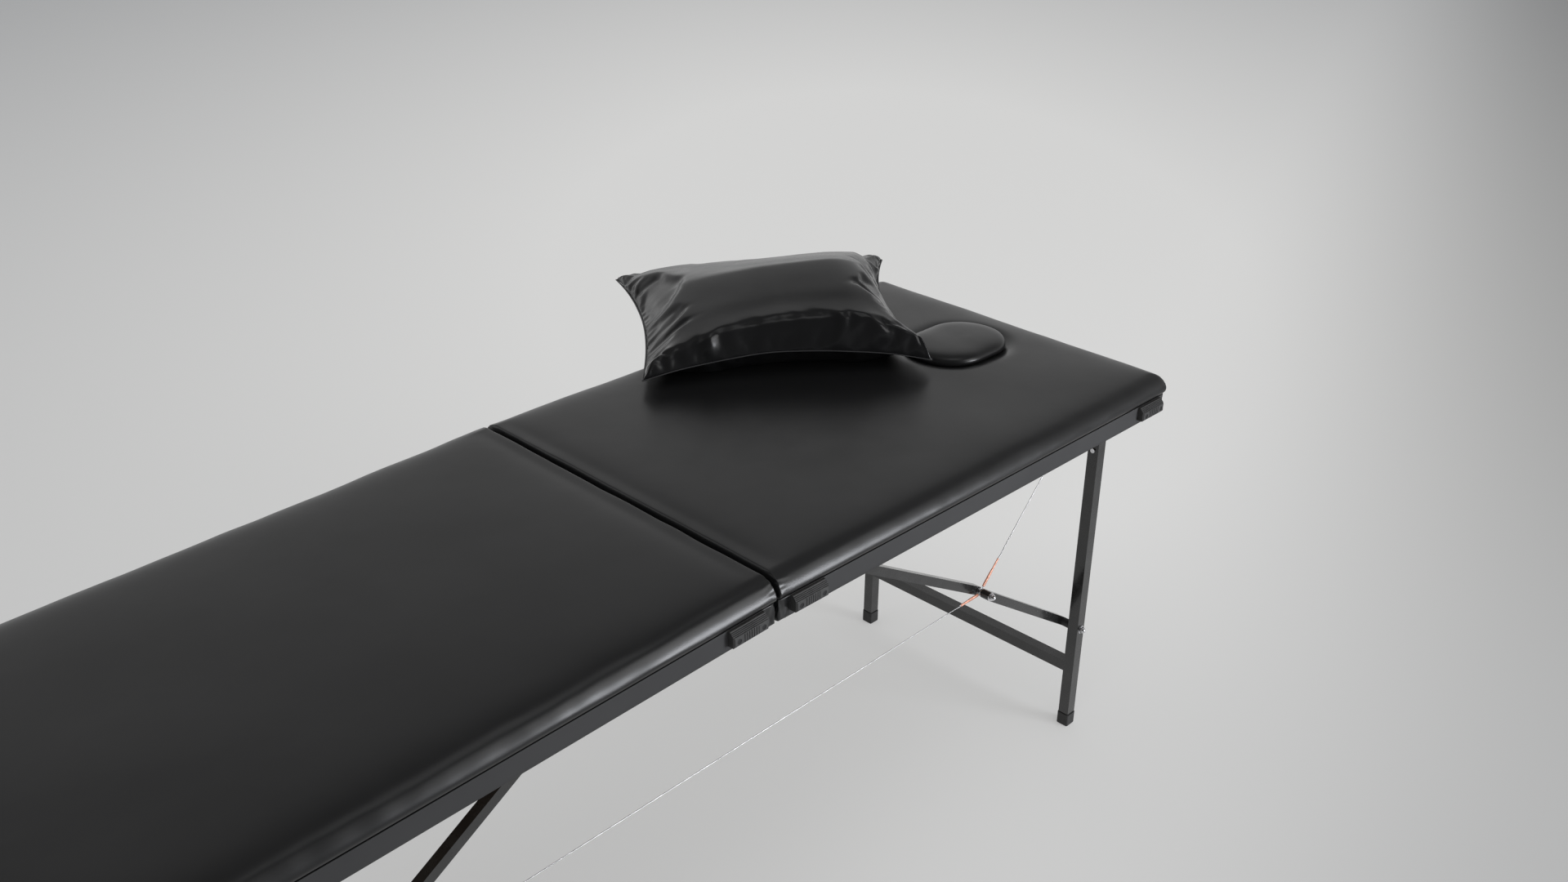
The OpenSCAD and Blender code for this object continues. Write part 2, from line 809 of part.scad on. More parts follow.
// The part of a straight cable or sleeve between two distances along a line from the knee
module knee_line(rise_deg, from, to, d) {
    rotate([0, 90 - rise_deg, 0]) translate([0, 0, from]) cylinder(d = d, h = to - from);
}

module cable_anchors(side) {
    root = frame_end - rail_w;
    color([0.14, 0.14, 0.15]) half(side) both_sides() {
        translate([anchor_s - ear_edge, anchor_tab_y, anchor_h - anchor_tab_h / 2])
            cube([root - anchor_s + ear_edge, anchor_tab_t, anchor_tab_h]);
        rod_y(anchor_s, anchor_h, anchor_pin_r, end_cable_y - cable_pitch, anchor_tab_y + anchor_tab_t / 2);
        rod_y(
            anchor_s, anchor_h, anchor_head_r,
            end_cable_y - cable_pitch - anchor_head_t, end_cable_y - cable_pitch
        );
    }
}

end_cable_len = norm([anchor_run, anchor_climb]);
end_cable_rise = atan2(anchor_climb, anchor_run);

module end_cables(side) {
    color([0.75, 0.75, 0.77]) half(side) both_sides() {
        translate([knee_s, end_cable_y, knee_h]) {
            eye(spool_r);
            knee_line(
                end_cable_rise, spool_r + eye_play + cable_d / 2,
                end_cable_len - anchor_pin_r - eye_play - cable_d / 2, cable_d
            );
        }
        translate([anchor_s, end_cable_y, anchor_h]) eye(anchor_pin_r);
    }
}

// The cable between the knees lies level, so it is drawn in the couch's own frame
module mid_cables(side) {
    color([0.75, 0.75, 0.77]) translate([side * knee_x, centre_y, knee_z])
        mirror([side == HEAD ? 1 : 0, 0, 0]) both_sides()
            translate([0, mid_cable_y, 0]) {
                eye(spool_r);
                knee_line(0, spool_r + eye_play + cable_d / 2, knee_x - eye_play / 2, cable_d);
            }
}

module sleeve(rise_deg, len) {
    difference() {
        knee_line(rise_deg, sleeve_start, sleeve_start + len, sleeve_d);
        knee_line(
            rise_deg, sleeve_start - overrun, sleeve_start + len + overrun, cable_d + 2 * eye_play
        );
    }
}

module cable_sleeves(side) {
    color([0.82, 0.58, 0.5]) {
        half(side) both_sides() translate([knee_s, end_cable_y, knee_h])
            sleeve(end_cable_rise, end_sleeve_len);
        translate([side * knee_x, centre_y, knee_z])
            mirror([side == HEAD ? 1 : 0, 0, 0]) both_sides()
                translate([0, mid_cable_y, 0]) sleeve(0, mid_sleeve_len);
    }
}

// Loose pieces

// A point of the pillow at u, v in -1..1, over its seam for up = 1 and under it for up = -1
function pillow_point(u, v, up) =
    let (
        power = up > 0 ? pillow_crown_power : pillow_flat_power,
        puff = pow(max(0, 1 - pow(abs(u), power)) * max(0, 1 - pow(abs(v), power)), pillow_wall_power)
    )
    [
        pillow_len / 2 * u * (1 - pillow_draw_share * (1 - v * v)),
        pillow_w / 2 * v * (1 - pillow_draw_share * (1 - u * u)),
        up * puff * (up > 0 ? pillow_over : pillow_under)
    ];

// One square ring of the pillow, at a share of the way from its middle to its seam
function pillow_ring(share, up) =
    [for (side = [0:3], k = [0:pillow_side_steps - 1])
        let (
            t = 2 * k / pillow_side_steps - 1,
            uv = side == 0 ? [t, -1] : side == 1 ? [1, t] : side == 2 ? [-t, 1] : [-1, -t]
        )
        pillow_point(share * uv[0], share * uv[1], up)];

module pillow() {
    count = len(pillow_ring_shares);
    rings = concat(
        [for (k = [count - 1:-1:0]) pillow_ring(pillow_ring_shares[k], -1)],
        [pillow_ring(1, 1)],
        [for (share = pillow_ring_shares) pillow_ring(share, 1)]
    );
    color([0.07, 0.07, 0.075]) half(HEAD)
        translate([half_end - pillow_in, pillow_y, deck_h + rest_gap + pillow_under])
            rotate([0, 0, pillow_turn])
                ring_stack(rings, pillow_point(0, 0, -1), pillow_point(0, 0, 1));
}

// One oval outline of the plug's cap, at height h
function oval_ring(inset, h) =
    [for (end = [0, 1], k = [0:plug_steps])
        let (a = 180 * end - 90 + 180 * k / plug_steps)
        [
            (end == 0 ? 1 : -1) * plug_span / 2 + (plug_r - inset) * cos(a),
            (plug_r - inset) * sin(a),
            h
        ]];

module face_plug() {
    side_h = plug_rise - plug_crown;
    rings = concat(
        [oval_ring(plug_edge / 4, 0), oval_ring(0, plug_edge / 3)],
        [for (k = [1:plug_round_steps])
            let (a = 90 * k / plug_round_steps)
            oval_ring(
                plug_edge * (1 - cos(a)),
                plug_edge / 3 + (side_h - plug_edge / 3) * sin(a)
            )],
        [oval_ring(plug_r / 2, plug_rise - plug_crown / 4)]
    );
    color([0.07, 0.07, 0.075]) half(HEAD)
        translate([half_end - plug_in, 0, deck_h + rest_gap]) {
            ring_stack(rings, [0, 0, 0], [0, 0, plug_rise]);
            translate([0, 0, -plug_rise]) linear_extrude(plug_rise + rest_gap)
                oval(-plug_lip - plug_play);
        }
}

// Handle and latches on the far side

module carry_handle() {
    y = couch_w / 2 + handle_out;
    color([0.08, 0.08, 0.08]) half(FOOT) translate([handle_s, y, handle_axle_h]) {
        translate([-handle_len / 2, 0, -handle_drop]) rotate([0, 90, 0])
            cylinder(r = grip_r, h = handle_len);
        for (end = [-1, 1]) mirror([end < 0 ? 1 : 0, 0, 0])
            translate([handle_len / 2, 0, 0]) {
                translate([-handle_arm_w / 2, -handle_arm_t / 2, -handle_drop])
                    cube([handle_arm_w / 2, handle_arm_t, handle_drop]);
                translate([-handle_arm_w / 2, 0, 0]) rotate([0, 90, 0]) {
                    cylinder(r = handle_arm_t / 2, h = handle_arm_w / 2);
                    cylinder(r = handle_arm_t / 2 - fit, h = handle_arm_w / 2 + mount_w / 2);
                }
            }
    }
}

module handle_mounts() {
    y = couch_w / 2;
    bore = handle_arm_t / 2;
    color([0.12, 0.12, 0.12]) half(FOOT)
        for (end = [-1, 1]) translate([handle_s, 0, handle_axle_h]) mirror([end < 0 ? 1 : 0, 0, 0])
            difference() {
                translate([handle_len / 2 + side_play, y, -mount_h / 2])
                    cube([mount_w, mount_t, mount_h]);
                translate([handle_len / 2, y + handle_out, 0]) rotate([0, 90, 0])
                    cylinder(r = bore, h = mount_w - side_play);
            }
}

// A latch's places along the half
function latch_s(k) = half_start + latch_s_shares[k] * half_len;

module latch_bases() {
    y = couch_w / 2;
    color([0.7, 0.7, 0.72]) half(FOOT)
        for (k = [0, 1]) translate([latch_s(k), y, latch_axle_h]) difference() {
            union() {
                translate([-latch_base_w / 2, 0, -latch_base_h / 2])
                    cube([latch_base_w, latch_plate_t, latch_base_h]);
                for (end = [-1, 1]) mirror([end < 0 ? 1 : 0, 0, 0])
                    translate([latch_w / 2 + side_play, 0, 0]) {
                        translate([0, 0, -latch_ear_r])
                            cube([latch_ear_t, latch_out, 2 * latch_ear_r]);
                        translate([0, latch_out, 0]) rotate([0, 90, 0])
                            cylinder(r = latch_ear_r, h = latch_ear_t);
                    }
            }
            translate([-latch_base_w, latch_out, 0]) rotate([0, 90, 0])
                cylinder(r = latch_pin_r + fit, h = 2 * latch_base_w);
        }
}

module latch_lever(k) {
    color([0.78, 0.78, 0.8]) half(FOOT)
        translate([latch_s(k), couch_w / 2 + latch_out, latch_axle_h]) {
            translate([-latch_w / 2, -lever_t / 2, -latch_len]) cube([latch_w, lever_t, latch_len]);
            translate([-latch_w / 2, 0, 0]) rotate([0, 90, 0])
                cylinder(r = latch_pin_r + lever_t / 2, h = latch_w);
            translate([-latch_w / 2 - side_play - latch_ear_t, 0, 0]) rotate([0, 90, 0])
                cylinder(r = latch_pin_r, h = latch_w + 2 * side_play + 2 * latch_ear_t);
            translate([-latch_w / 2, -lever_t / 2 - lever_hook, -latch_len])
                cube([latch_w, lever_hook + lever_t, lever_t]);
        }
}

module latch_lever_inner() {
    latch_lever(0);
}

module latch_lever_outer() {
    latch_lever(1);
}

module latch_catches() {
    color([0.7, 0.7, 0.72]) half(HEAD)
        for (k = [0, 1]) translate([latch_s(k) - latch_w / 2, couch_w / 2, catch_low]) {
            cube([latch_w, latch_plate_t, catch_h]);
            cube([latch_w, catch_out, latch_plate_t]);
            translate([0, catch_out - latch_plate_t, 0]) cube([latch_w, latch_plate_t, catch_lip]);
        }
}

cover(FOOT);  // foot_cover
foam(FOOT);  // foot_foam
board(FOOT);  // foot_board
side_rails(FOOT);  // foot_side_rails
cross_rails(FOOT);  // foot_cross_rails
link_brackets(FOOT);  // foot_link_brackets
leg_brackets(FOOT);  // foot_leg_brackets
pivot_bolts(FOOT);  // foot_pivot_bolts
corner_blocks(FOOT);  // foot_corner_blocks
screws(FOOT);  // foot_screws
hinge_leaves(FOOT);  // foot_hinge_leaves
cable_anchors(FOOT);  // foot_cable_anchors
end_cables(FOOT);  // foot_end_cables
mid_cables(FOOT);  // foot_mid_cables
cable_sleeves(FOOT);  // foot_cable_sleeves
legs(FOOT);  // foot_legs
leg_crossbar(FOOT);  // foot_leg_crossbar
leg_caps(FOOT);  // foot_leg_caps
leg_screws(FOOT);  // foot_leg_screws
brace_bolts(FOOT);  // foot_brace_bolts
brace_spacers(FOOT);  // foot_brace_spacers
upper_links(FOOT);  // foot_upper_links
knee_spools(FOOT);  // foot_knee_spools
lower_links(FOOT);  // foot_lower_links
knee_bolts(FOOT);  // foot_knee_bolts
cover(HEAD);  // head_cover
foam(HEAD);  // head_foam
board(HEAD);  // head_board
side_rails(HEAD);  // head_side_rails
cross_rails(HEAD);  // head_cross_rails
link_brackets(HEAD);  // head_link_brackets
leg_brackets(HEAD);  // head_leg_brackets
pivot_bolts(HEAD);  // head_pivot_bolts
corner_blocks(HEAD);  // head_corner_blocks
screws(HEAD);  // head_screws
hinge_leaves(HEAD);  // head_hinge_leaves
cable_anchors(HEAD);  // head_cable_anchors
end_cables(HEAD);  // head_end_cables
mid_cables(HEAD);  // head_mid_cables
cable_sleeves(HEAD);  // head_cable_sleeves
legs(HEAD);  // head_legs
leg_crossbar(HEAD);  // head_leg_crossbar
leg_caps(HEAD);  // head_leg_caps
leg_screws(HEAD);  // head_leg_screws
brace_bolts(HEAD);  // head_brace_bolts
brace_spacers(HEAD);  // head_brace_spacers
upper_links(HEAD);  // head_upper_links
knee_spools(HEAD);  // head_knee_spools
lower_links(HEAD);  // head_lower_links
knee_bolts(HEAD);  // head_knee_bolts
hinge_pins();
pillow();
face_plug();
carry_handle();
handle_mounts();
latch_bases();
latch_lever_inner();
latch_lever_outer();
latch_catches();
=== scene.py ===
"""Folding treatment couch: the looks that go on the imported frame."""

import json
import math

import bmesh
import bpy
import numpy as np
from mathutils import Euler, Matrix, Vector, noise


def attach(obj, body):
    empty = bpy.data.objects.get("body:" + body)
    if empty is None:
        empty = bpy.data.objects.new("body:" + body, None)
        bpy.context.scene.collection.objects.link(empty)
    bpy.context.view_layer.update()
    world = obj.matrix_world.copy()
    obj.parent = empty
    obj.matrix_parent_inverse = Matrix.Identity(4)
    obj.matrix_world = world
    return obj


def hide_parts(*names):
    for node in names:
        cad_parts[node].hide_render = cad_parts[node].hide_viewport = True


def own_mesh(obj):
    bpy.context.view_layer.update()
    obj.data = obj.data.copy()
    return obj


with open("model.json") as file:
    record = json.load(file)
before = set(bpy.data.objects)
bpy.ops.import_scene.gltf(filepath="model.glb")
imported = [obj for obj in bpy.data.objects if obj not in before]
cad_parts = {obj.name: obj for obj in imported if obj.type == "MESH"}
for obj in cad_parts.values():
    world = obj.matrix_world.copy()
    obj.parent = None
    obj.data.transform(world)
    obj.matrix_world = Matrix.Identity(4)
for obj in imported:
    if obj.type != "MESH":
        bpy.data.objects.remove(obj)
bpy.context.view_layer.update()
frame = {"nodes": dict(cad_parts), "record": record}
nodes = frame["nodes"]
scene = bpy.context.scene

# Dimensions of part.scad, in mm
MM = 0.001
CENTRE_Y, HINGE_H = -126.0, 641.0
CROWN = math.radians(1.06)
START, END, WIDTH = 2.0, 900.0, 615.0
BAND_H, BAND_TOP, DECK_H = 34.0, 31.3, 67.0
FOOT, HEAD = -1, 1
PLUG_S, PLUG_R, PLUG_SPAN, PLUG_LIP = 735.0, 69.0, 44.0, 11.0


def to_row(side, points):
    """Points of a half (along, across, up, in mm) in the row frame, in metres."""
    s, y, h = np.asarray(points, float).T
    x = side * (s * math.cos(CROWN) + h * math.sin(CROWN))
    z = HINGE_H - s * math.sin(CROWN) + h * math.cos(CROWN)
    return np.column_stack([x, CENTRE_Y + y, z]) * MM


def half_up(side):
    """The direction out of a half's deck."""
    return (side * math.sin(CROWN), 0.0, math.cos(CROWN))


def smooth_noise(points, size, seed):
    """Smooth noise between -1 and 1 at each point; size is its wavelength, in the points' unit."""
    shift = Vector((seed * 17.3, seed * -9.1, seed * 5.7))
    return np.array([noise.noise(Vector(p) / size + shift) for p in points])


def waves(points, wave, seed):
    """Smooth noise given as (height, wavelength)."""
    height, length = wave
    return height * smooth_noise(points, length, seed)


def fade(value, start, span):
    """0 before start, rising to 1 over span; a negative span turns it round."""
    return np.clip((value - start) / span, 0, 1)


def bell(value, centre, width):
    """1 at the centre, falling off smoothly on both sides."""
    return np.exp(-((value - centre) / width) ** 2)


def catmull(points, steps):
    """A smooth curve through the points."""
    p = np.asarray(points, float)
    p = np.vstack([2 * p[0] - p[1], p, 2 * p[-1] - p[-2]])
    out = []
    for a, b, c, d in zip(p, p[1:], p[2:], p[3:]):
        for t in np.linspace(0, 1, steps, endpoint=False):
            out.append(0.5 * (2 * b + (c - a) * t + (2 * a - 5 * b + 4 * c - d) * t * t
                              + (3 * b - a - 3 * c + d) * t ** 3))
    out.append(p[-2])
    return np.array(out)


def round_grid(nx, ny):
    """The places round the border of a grid of nx by ny squares, in order."""
    return ([(i, 0) for i in range(nx)] + [(nx, j) for j in range(ny)]
            + [(nx - i, ny) for i in range(nx)] + [(0, ny - j) for j in range(ny)])


def tube_faces(rings, around):
    """The sides and the two ends of a tube, whose points are rings of the same length."""
    faces = [(r * around + k, r * around + (k + 1) % around,
              (r + 1) * around + (k + 1) % around, (r + 1) * around + k)
             for r in range(rings - 1) for k in range(around)]
    last = (rings - 1) * around
    return faces + [tuple(range(around))[::-1], tuple(range(last, last + around))]


# Materials


def node_tree(name):
    """A new material and its tree, with only a Principled shader and an output."""
    mat = bpy.data.materials.new(name)
    mat.use_nodes = True
    tree = mat.node_tree
    tree.nodes.clear()
    shader = tree.nodes.new("ShaderNodeBsdfPrincipled")
    out = tree.nodes.new("ShaderNodeOutputMaterial")
    tree.links.new(shader.outputs["BSDF"], out.inputs["Surface"])
    return mat, tree, shader


def place(tree, stretch=(1, 1, 1)):
    """The piece's own coordinates, in metres, stretched."""
    coords = tree.nodes.new("ShaderNodeTexCoord")
    mapping = tree.nodes.new("ShaderNodeMapping")
    mapping.inputs["Scale"].default_value = stretch
    tree.links.new(coords.outputs["Object"], mapping.inputs["Vector"])
    return mapping.outputs["Vector"]


def noise_of(tree, at, scale, detail=2.0, rough=0.5):
    tex = tree.nodes.new("ShaderNodeTexNoise")
    tex.inputs["Scale"].default_value = scale
    tex.inputs["Detail"].default_value = detail
    tex.inputs["Roughness"].default_value = rough
    tree.links.new(at, tex.inputs["Vector"])
    return tex.outputs["Fac"]


def cells_of(tree, at, scale):
    tex = tree.nodes.new("ShaderNodeTexVoronoi")
    tex.inputs["Scale"].default_value = scale
    tree.links.new(at, tex.inputs["Vector"])
    return tex.outputs["Distance"]


def ranged(tree, value, low, high, start=0.3, stop=0.7):
    """The value's start-to-stop range spread from low to high."""
    span = tree.nodes.new("ShaderNodeMapRange")
    span.inputs["From Min"].default_value = start
    span.inputs["From Max"].default_value = stop
    span.inputs["To Min"].default_value = low
    span.inputs["To Max"].default_value = high
    tree.links.new(value, span.inputs["Value"])
    return span.outputs["Result"]


def mixed(tree, fac, first, second):
    mix = tree.nodes.new("ShaderNodeMix")
    mix.data_type = "RGBA"
    mix.inputs[6].default_value = (*first, 1)
    mix.inputs[7].default_value = (*second, 1)
    tree.links.new(fac, mix.inputs[0])
    return mix.outputs[2]


def colour_by(tree, shader, fac, first, second):
    tree.links.new(mixed(tree, fac, first, second), shader.inputs["Base Color"])


def roughness_by(tree, shader, value, low, high):
    tree.links.new(ranged(tree, value, low, high), shader.inputs["Roughness"])


def bumped(tree, shader, layers):
    """Stacks bumps given as (height, distance in metres, strength) on a shader."""
    below = None
    for height, distance, strength in layers:
        bump = tree.nodes.new("ShaderNodeBump")
        bump.inputs["Distance"].default_value = distance
        bump.inputs["Strength"].default_value = strength
        tree.links.new(height, bump.inputs["Height"])
        if below:
            tree.links.new(below, bump.inputs["Normal"])
        below = bump.outputs["Normal"]
    tree.links.new(below, shader.inputs["Normal"])


# The cover's darkest and palest grey
LEATHER_GREYS = (0.0042, 0.0043, 0.0046), (0.0075, 0.0075, 0.0078)


def leatherette(name, gloss, ripple, lift=1.0, shine=0.5):
    """Black coated fabric with a faint pressed grain; ripple is the height of its slack, in metres; lift
    paints its greys lighter, as painted light on lit copies of it.
    """
    mat, tree, shader = node_tree(name)
    shader.inputs["Specular IOR Level"].default_value = shine
    at = place(tree)
    dark, pale = (tuple(c * lift for c in grey) for grey in LEATHER_GREYS)
    colour_by(tree, shader, noise_of(tree, at, 7, 3), dark, pale)
    roughness_by(tree, shader, noise_of(tree, at, 22, 4), gloss - 0.015, gloss + 0.025)
    bumped(tree, shader, [
        (noise_of(tree, at, 16, 2), ripple, 1.0),
        (cells_of(tree, at, 900), 0.00006, 0.35),
        (noise_of(tree, at, 1600, 2), 0.00004, 0.3),
    ])
    return mat


def paint(name, colour, gloss, coat):
    """Powder coat with a faint orange peel and dust."""
    mat, tree, shader = node_tree(name)
    at = place(tree)
    lighter = tuple(c * 1.7 + 0.002 for c in colour)
    colour_by(tree, shader, ranged(tree, noise_of(tree, at, 30, 5), 0, 1), colour, lighter)
    roughness_by(tree, shader, noise_of(tree, at, 60, 4), gloss - 0.04, gloss + 0.08)
    shader.inputs["Coat Weight"].default_value = coat
    shader.inputs["Coat Roughness"].default_value = 0.08
    bumped(tree, shader, [(noise_of(tree, at, 700, 2), 0.00005, 0.4)])
    return mat


def metal(name, colour, gloss, streak):
    """Zinc plate or steel, with fine rubbed streaks across it."""
    mat, tree, shader = node_tree(name)
    fine = noise_of(tree, place(tree, (streak, 1, streak)), 500, 3)
    cloud = noise_of(tree, place(tree), 90, 3)
    dull = tuple(c * 0.72 for c in colour)
    colour_by(tree, shader, ranged(tree, cloud, 0, 1), dull, colour)
    roughness_by(tree, shader, fine, gloss - 0.06, gloss + 0.12)
    shader.inputs["Metallic"].default_value = 1
    bumped(tree, shader, [(fine, 0.00003, 0.35)])
    return mat


def moulded(name, colour, gloss, grain):
    """Moulded plastic, rubber or foam with a fine grain."""
    mat, tree, shader = node_tree(name)
    at = place(tree)
    lighter = tuple(c * 1.5 + 0.004 for c in colour)
    colour_by(tree, shader, ranged(tree, noise_of(tree, at, 60, 4), 0, 1), colour, lighter)
    roughness_by(tree, shader, noise_of(tree, at, 160, 3), gloss - 0.05, gloss + 0.1)
    bumped(tree, shader, [(noise_of(tree, at, grain, 3), 0.00012, 0.5)])
    return mat


def hardboard():
    """Brown pressed board with short fibres."""
    mat, tree, shader = node_tree("hardboard")
    fibres = noise_of(tree, place(tree, (1, 4, 1)), 260, 6, 0.7)
    colour_by(tree, shader, ranged(tree, fibres, 0, 1), (0.13, 0.075, 0.038), (0.27, 0.17, 0.09))
    shader.inputs["Roughness"].default_value = 0.75
    bumped(tree, shader, [(fibres, 0.0003, 0.5)])
    return mat


def copper_sleeve():
    """Thin copper ferrule, slightly tarnished."""
    mat, tree, shader = node_tree("copper_sleeve")
    cloud = noise_of(tree, place(tree), 140, 3)
    colour_by(tree, shader, ranged(tree, cloud, 0, 1), (0.50, 0.22, 0.15), (0.72, 0.38, 0.28))
    roughness_by(tree, shader, cloud, 0.3, 0.45)
    shader.inputs["Metallic"].default_value = 0.35
    bumped(tree, shader, [(noise_of(tree, place(tree), 400, 2), 0.00006, 0.4)])
    return mat


MATERIALS = {
    "leatherette": leatherette("leatherette", 0.31, 0.00028),
    "board": hardboard(),
    "frame_paint": paint("frame_paint", (0.010, 0.010, 0.011), 0.42, 0.0),
    "leg_paint": paint("leg_paint", (0.009, 0.009, 0.009), 0.24, 0.4),
    "zinc": metal("zinc", (0.80, 0.80, 0.82), 0.24, 6),
    "cable": metal("cable", (0.74, 0.74, 0.75), 0.34, 1),
    "sleeve": copper_sleeve(),
    "black_plastic": moulded("black_plastic", (0.018, 0.018, 0.018), 0.5, 900),
    "black_screw": metal("black_screw", (0.06, 0.06, 0.062), 0.34, 4),
    "black_rubber": moulded("black_rubber", (0.012, 0.012, 0.012), 0.6, 600),
    "foam": moulded("foam", (0.7, 0.66, 0.5), 0.9, 500),
}
PILLOW_LEATHER = leatherette("pillow_leatherette", 0.22, 0.0003, shine=0.36)
# A copy of the pillow's cover whose grey is painted three times lighter, a painted sheen so that the
# seam's welt shows as a light line
WELT_LEATHER_PAINTED_LIGHT = leatherette("welt_leatherette_painted_light", 0.42, 0.0, lift=3.0)
# A duller copy of the cover whose grey is painted four times lighter, standing in for the light that the
# band catches
BAND_LEATHER_PAINTED_LIGHT = leatherette("band_leatherette_painted_light", 0.68, 0.0001, lift=4.0)

for row in frame["record"]["subparts"]:
    for node_slot in nodes[row["node"]].material_slots:
        node_slot.material = MATERIALS[row["material_slot"]]


def new_piece(name, points, faces, body, slot, mat=None, stands_for=(), levels=1):
    """A smooth mesh piece in the row frame, with its subdivision applied."""
    mesh = bpy.data.meshes.new(name)
    mesh.from_pydata([tuple(p) for p in points], [], [tuple(f) for f in faces])
    mesh.update()
    piece = bpy.data.objects.new(name, mesh)
    scene.collection.objects.link(piece)
    piece.data.materials.append(mat or MATERIALS[slot])
    if levels:
        refine(piece, levels)
    shade_smooth(piece)
    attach(piece, body)
    if stands_for:
        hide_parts(*stands_for)
    return piece


def shade_smooth(piece):
    piece.data.polygons.foreach_set("use_smooth", [True] * len(piece.data.polygons))


def apply_modifiers(piece):
    """Makes the piece's evaluated shape its own mesh."""
    seen = bpy.context.evaluated_depsgraph_get()
    shaped = bpy.data.meshes.new_from_object(piece.evaluated_get(seen))
    old = piece.data
    piece.modifiers.clear()
    piece.data = shaped
    bpy.data.meshes.remove(old)


def refine(piece, levels):
    divide = piece.modifiers.new("divide", "SUBSURF")
    divide.levels = divide.render_levels = levels
    apply_modifiers(piece)


def face_outwards(piece):
    solid = bmesh.new()
    solid.from_mesh(piece.data)
    bmesh.ops.recalc_face_normals(solid, faces=solid.faces)
    solid.to_mesh(piece.data)
    solid.free()


# Pads: a crowned, stretched cover over each half, with a crease above the steel band

# The rolled edge from the crease up to the deck: in from the band's face, and up
EDGE = catmull([
    (4.8, 32.6), (2.2, 33.2), (-1.2, 34.6), (-3.4, 37.6), (-3.8, 41.2), (-2.7, 46.0), (0.9, 52.9),
    (6.2, 59.2), (12.0, 62.9), (17.8, 65.1), (22.6, 66.2),
], 8)
EDGE_T = np.concatenate([[0], np.cumsum(np.linalg.norm(np.diff(EDGE, axis=0), axis=1))])
EDGE_LEN = EDGE_T[-1]
CORNER = EDGE[-1][0]
# The cover from the crease down over the band and in under the frame: in, and up
BAND_ROWS = [(3.6, 31.9), (0.5, 31.6), (0.0, 31.0), (0.0, 29.0), (0.0, 24.0), (0.0, 19.0),
             (0.0, 14.0), (0.0, 9.5), (0.0, 5.0),
             (0.4, 1.8), (1.6, 0.4), (4.0, 0.0), (10.0, 0.0), (15.0, 0.0), (15.4, 0.5), (14.6, 1.0)]
# How square the corners are in plan, at the couch's end and at the hinge line: less is squarer
SQUARE, HINGE_SQUARE = 0.55, 0.36
# The crown over the pad's edge: a short rise and a long one, as height and run
CROWN_PARTS = (1.9, 15.0), (2.8, 60.0)
# How much higher the deck is at the far edge than at the near one
FAR_RISE = 3.4
# Waves of the deck, of its far edge and along the rolled edge: height and wavelength
DECK_WAVE, FAR_WAVE, ROLL_LONG, ROLL_SHORT = (0.9, 160), (1.0, 120), (1.5, 75), (0.5, 26)
# How deep the cover is gathered at the corners by the hinge line and at the couch's end
HINGE_GATHER, END_GATHER = 1.5, 0.7
# The fold in the cover over the band by the hinge line: how deep, how wide, and its slant
TUCK, TUCK_WIDTH, TUCK_SLANT = 1.5, 3, 0.55
# How far from the hinge line the cover hangs loose over the band, and stays glossy, without the band's
# painted lighter grey
GATHERED = 22.0
# What share of its width the rolled edge keeps at the hinge line, and how far on that is made up
HINGE_SQUEEZE, HINGE_REACH = 0.17, 110.0
# How near to the hinge line a pad may come, so that the two don't cross
HINGE_CLEAR = 0.15
# How far the deck sinks round the plug, where the cover goes down into the face hole
DIMPLE = 9.5
# Steps of the pads' grid: along the rolled edge, their growth from there, and the longest
FINE_STEP, STEP_GROWTH, LONG_STEP = 2.6, 1.22, 11.0
# Where the grid stops round the face hole and where its rim is looked for, out from the lip
HOLE_MARGIN, HOLE_REACH = 9, 60
# Places tried on the oval for each point of the rim, and how evenly the rim is then spread
OVAL_STEPS, EVENNESS = 720, 0.65


def stations(length):
    """Places along one side of a pad's grid, close together near both ends."""
    out, step, at = [0.0], FINE_STEP, 0.0
    while at < length / 2:
        step = FINE_STEP if at < EDGE_LEN else min(step * STEP_GROWTH, LONG_STEP)
        at += step
        out.append(at)
    out = np.array(out)
    flat = out > EDGE_LEN
    out[flat] = EDGE_LEN + (out[flat] - EDGE_LEN) * (
        (length / 2 - EDGE_LEN) / (out[-1] - EDGE_LEN))
    return np.concatenate([out, (length - out[::-1])[1:]])


def inset_of(t):
    return np.where(t < EDGE_LEN, np.interp(t, EDGE_T, EDGE[:, 0]), CORNER + t - EDGE_LEN)


def outline_point(tx, ty, inset, far_x, far_y):
    """Where grid place tx, ty of a ring goes, drawn in from the band by inset."""
    if tx < EDGE_LEN and ty < EDGE_LEN:
        t = min(tx, ty)
        room = max(EDGE_LEN - t, 1e-6)
        turn = (EDGE_LEN - ty) / room * 45 if tx <= ty else 90 - (EDGE_LEN - tx) / room * 45
        reach, square = CORNER - inset, SQUARE if far_x else HINGE_SQUARE
        along = CORNER - reach * math.cos(math.radians(turn)) ** square
        across = CORNER - reach * math.sin(math.radians(turn)) ** square
    else:
        along = inset if tx <= ty else inset_of(tx)
        across = inset if ty < tx else inset_of(ty)
        if tx >= EDGE_LEN and ty >= EDGE_LEN:
            along, across = inset_of(tx), inset_of(ty)
    return (END - along if far_x else START + along,
            WIDTH / 2 - across if far_y else across - WIDTH / 2)


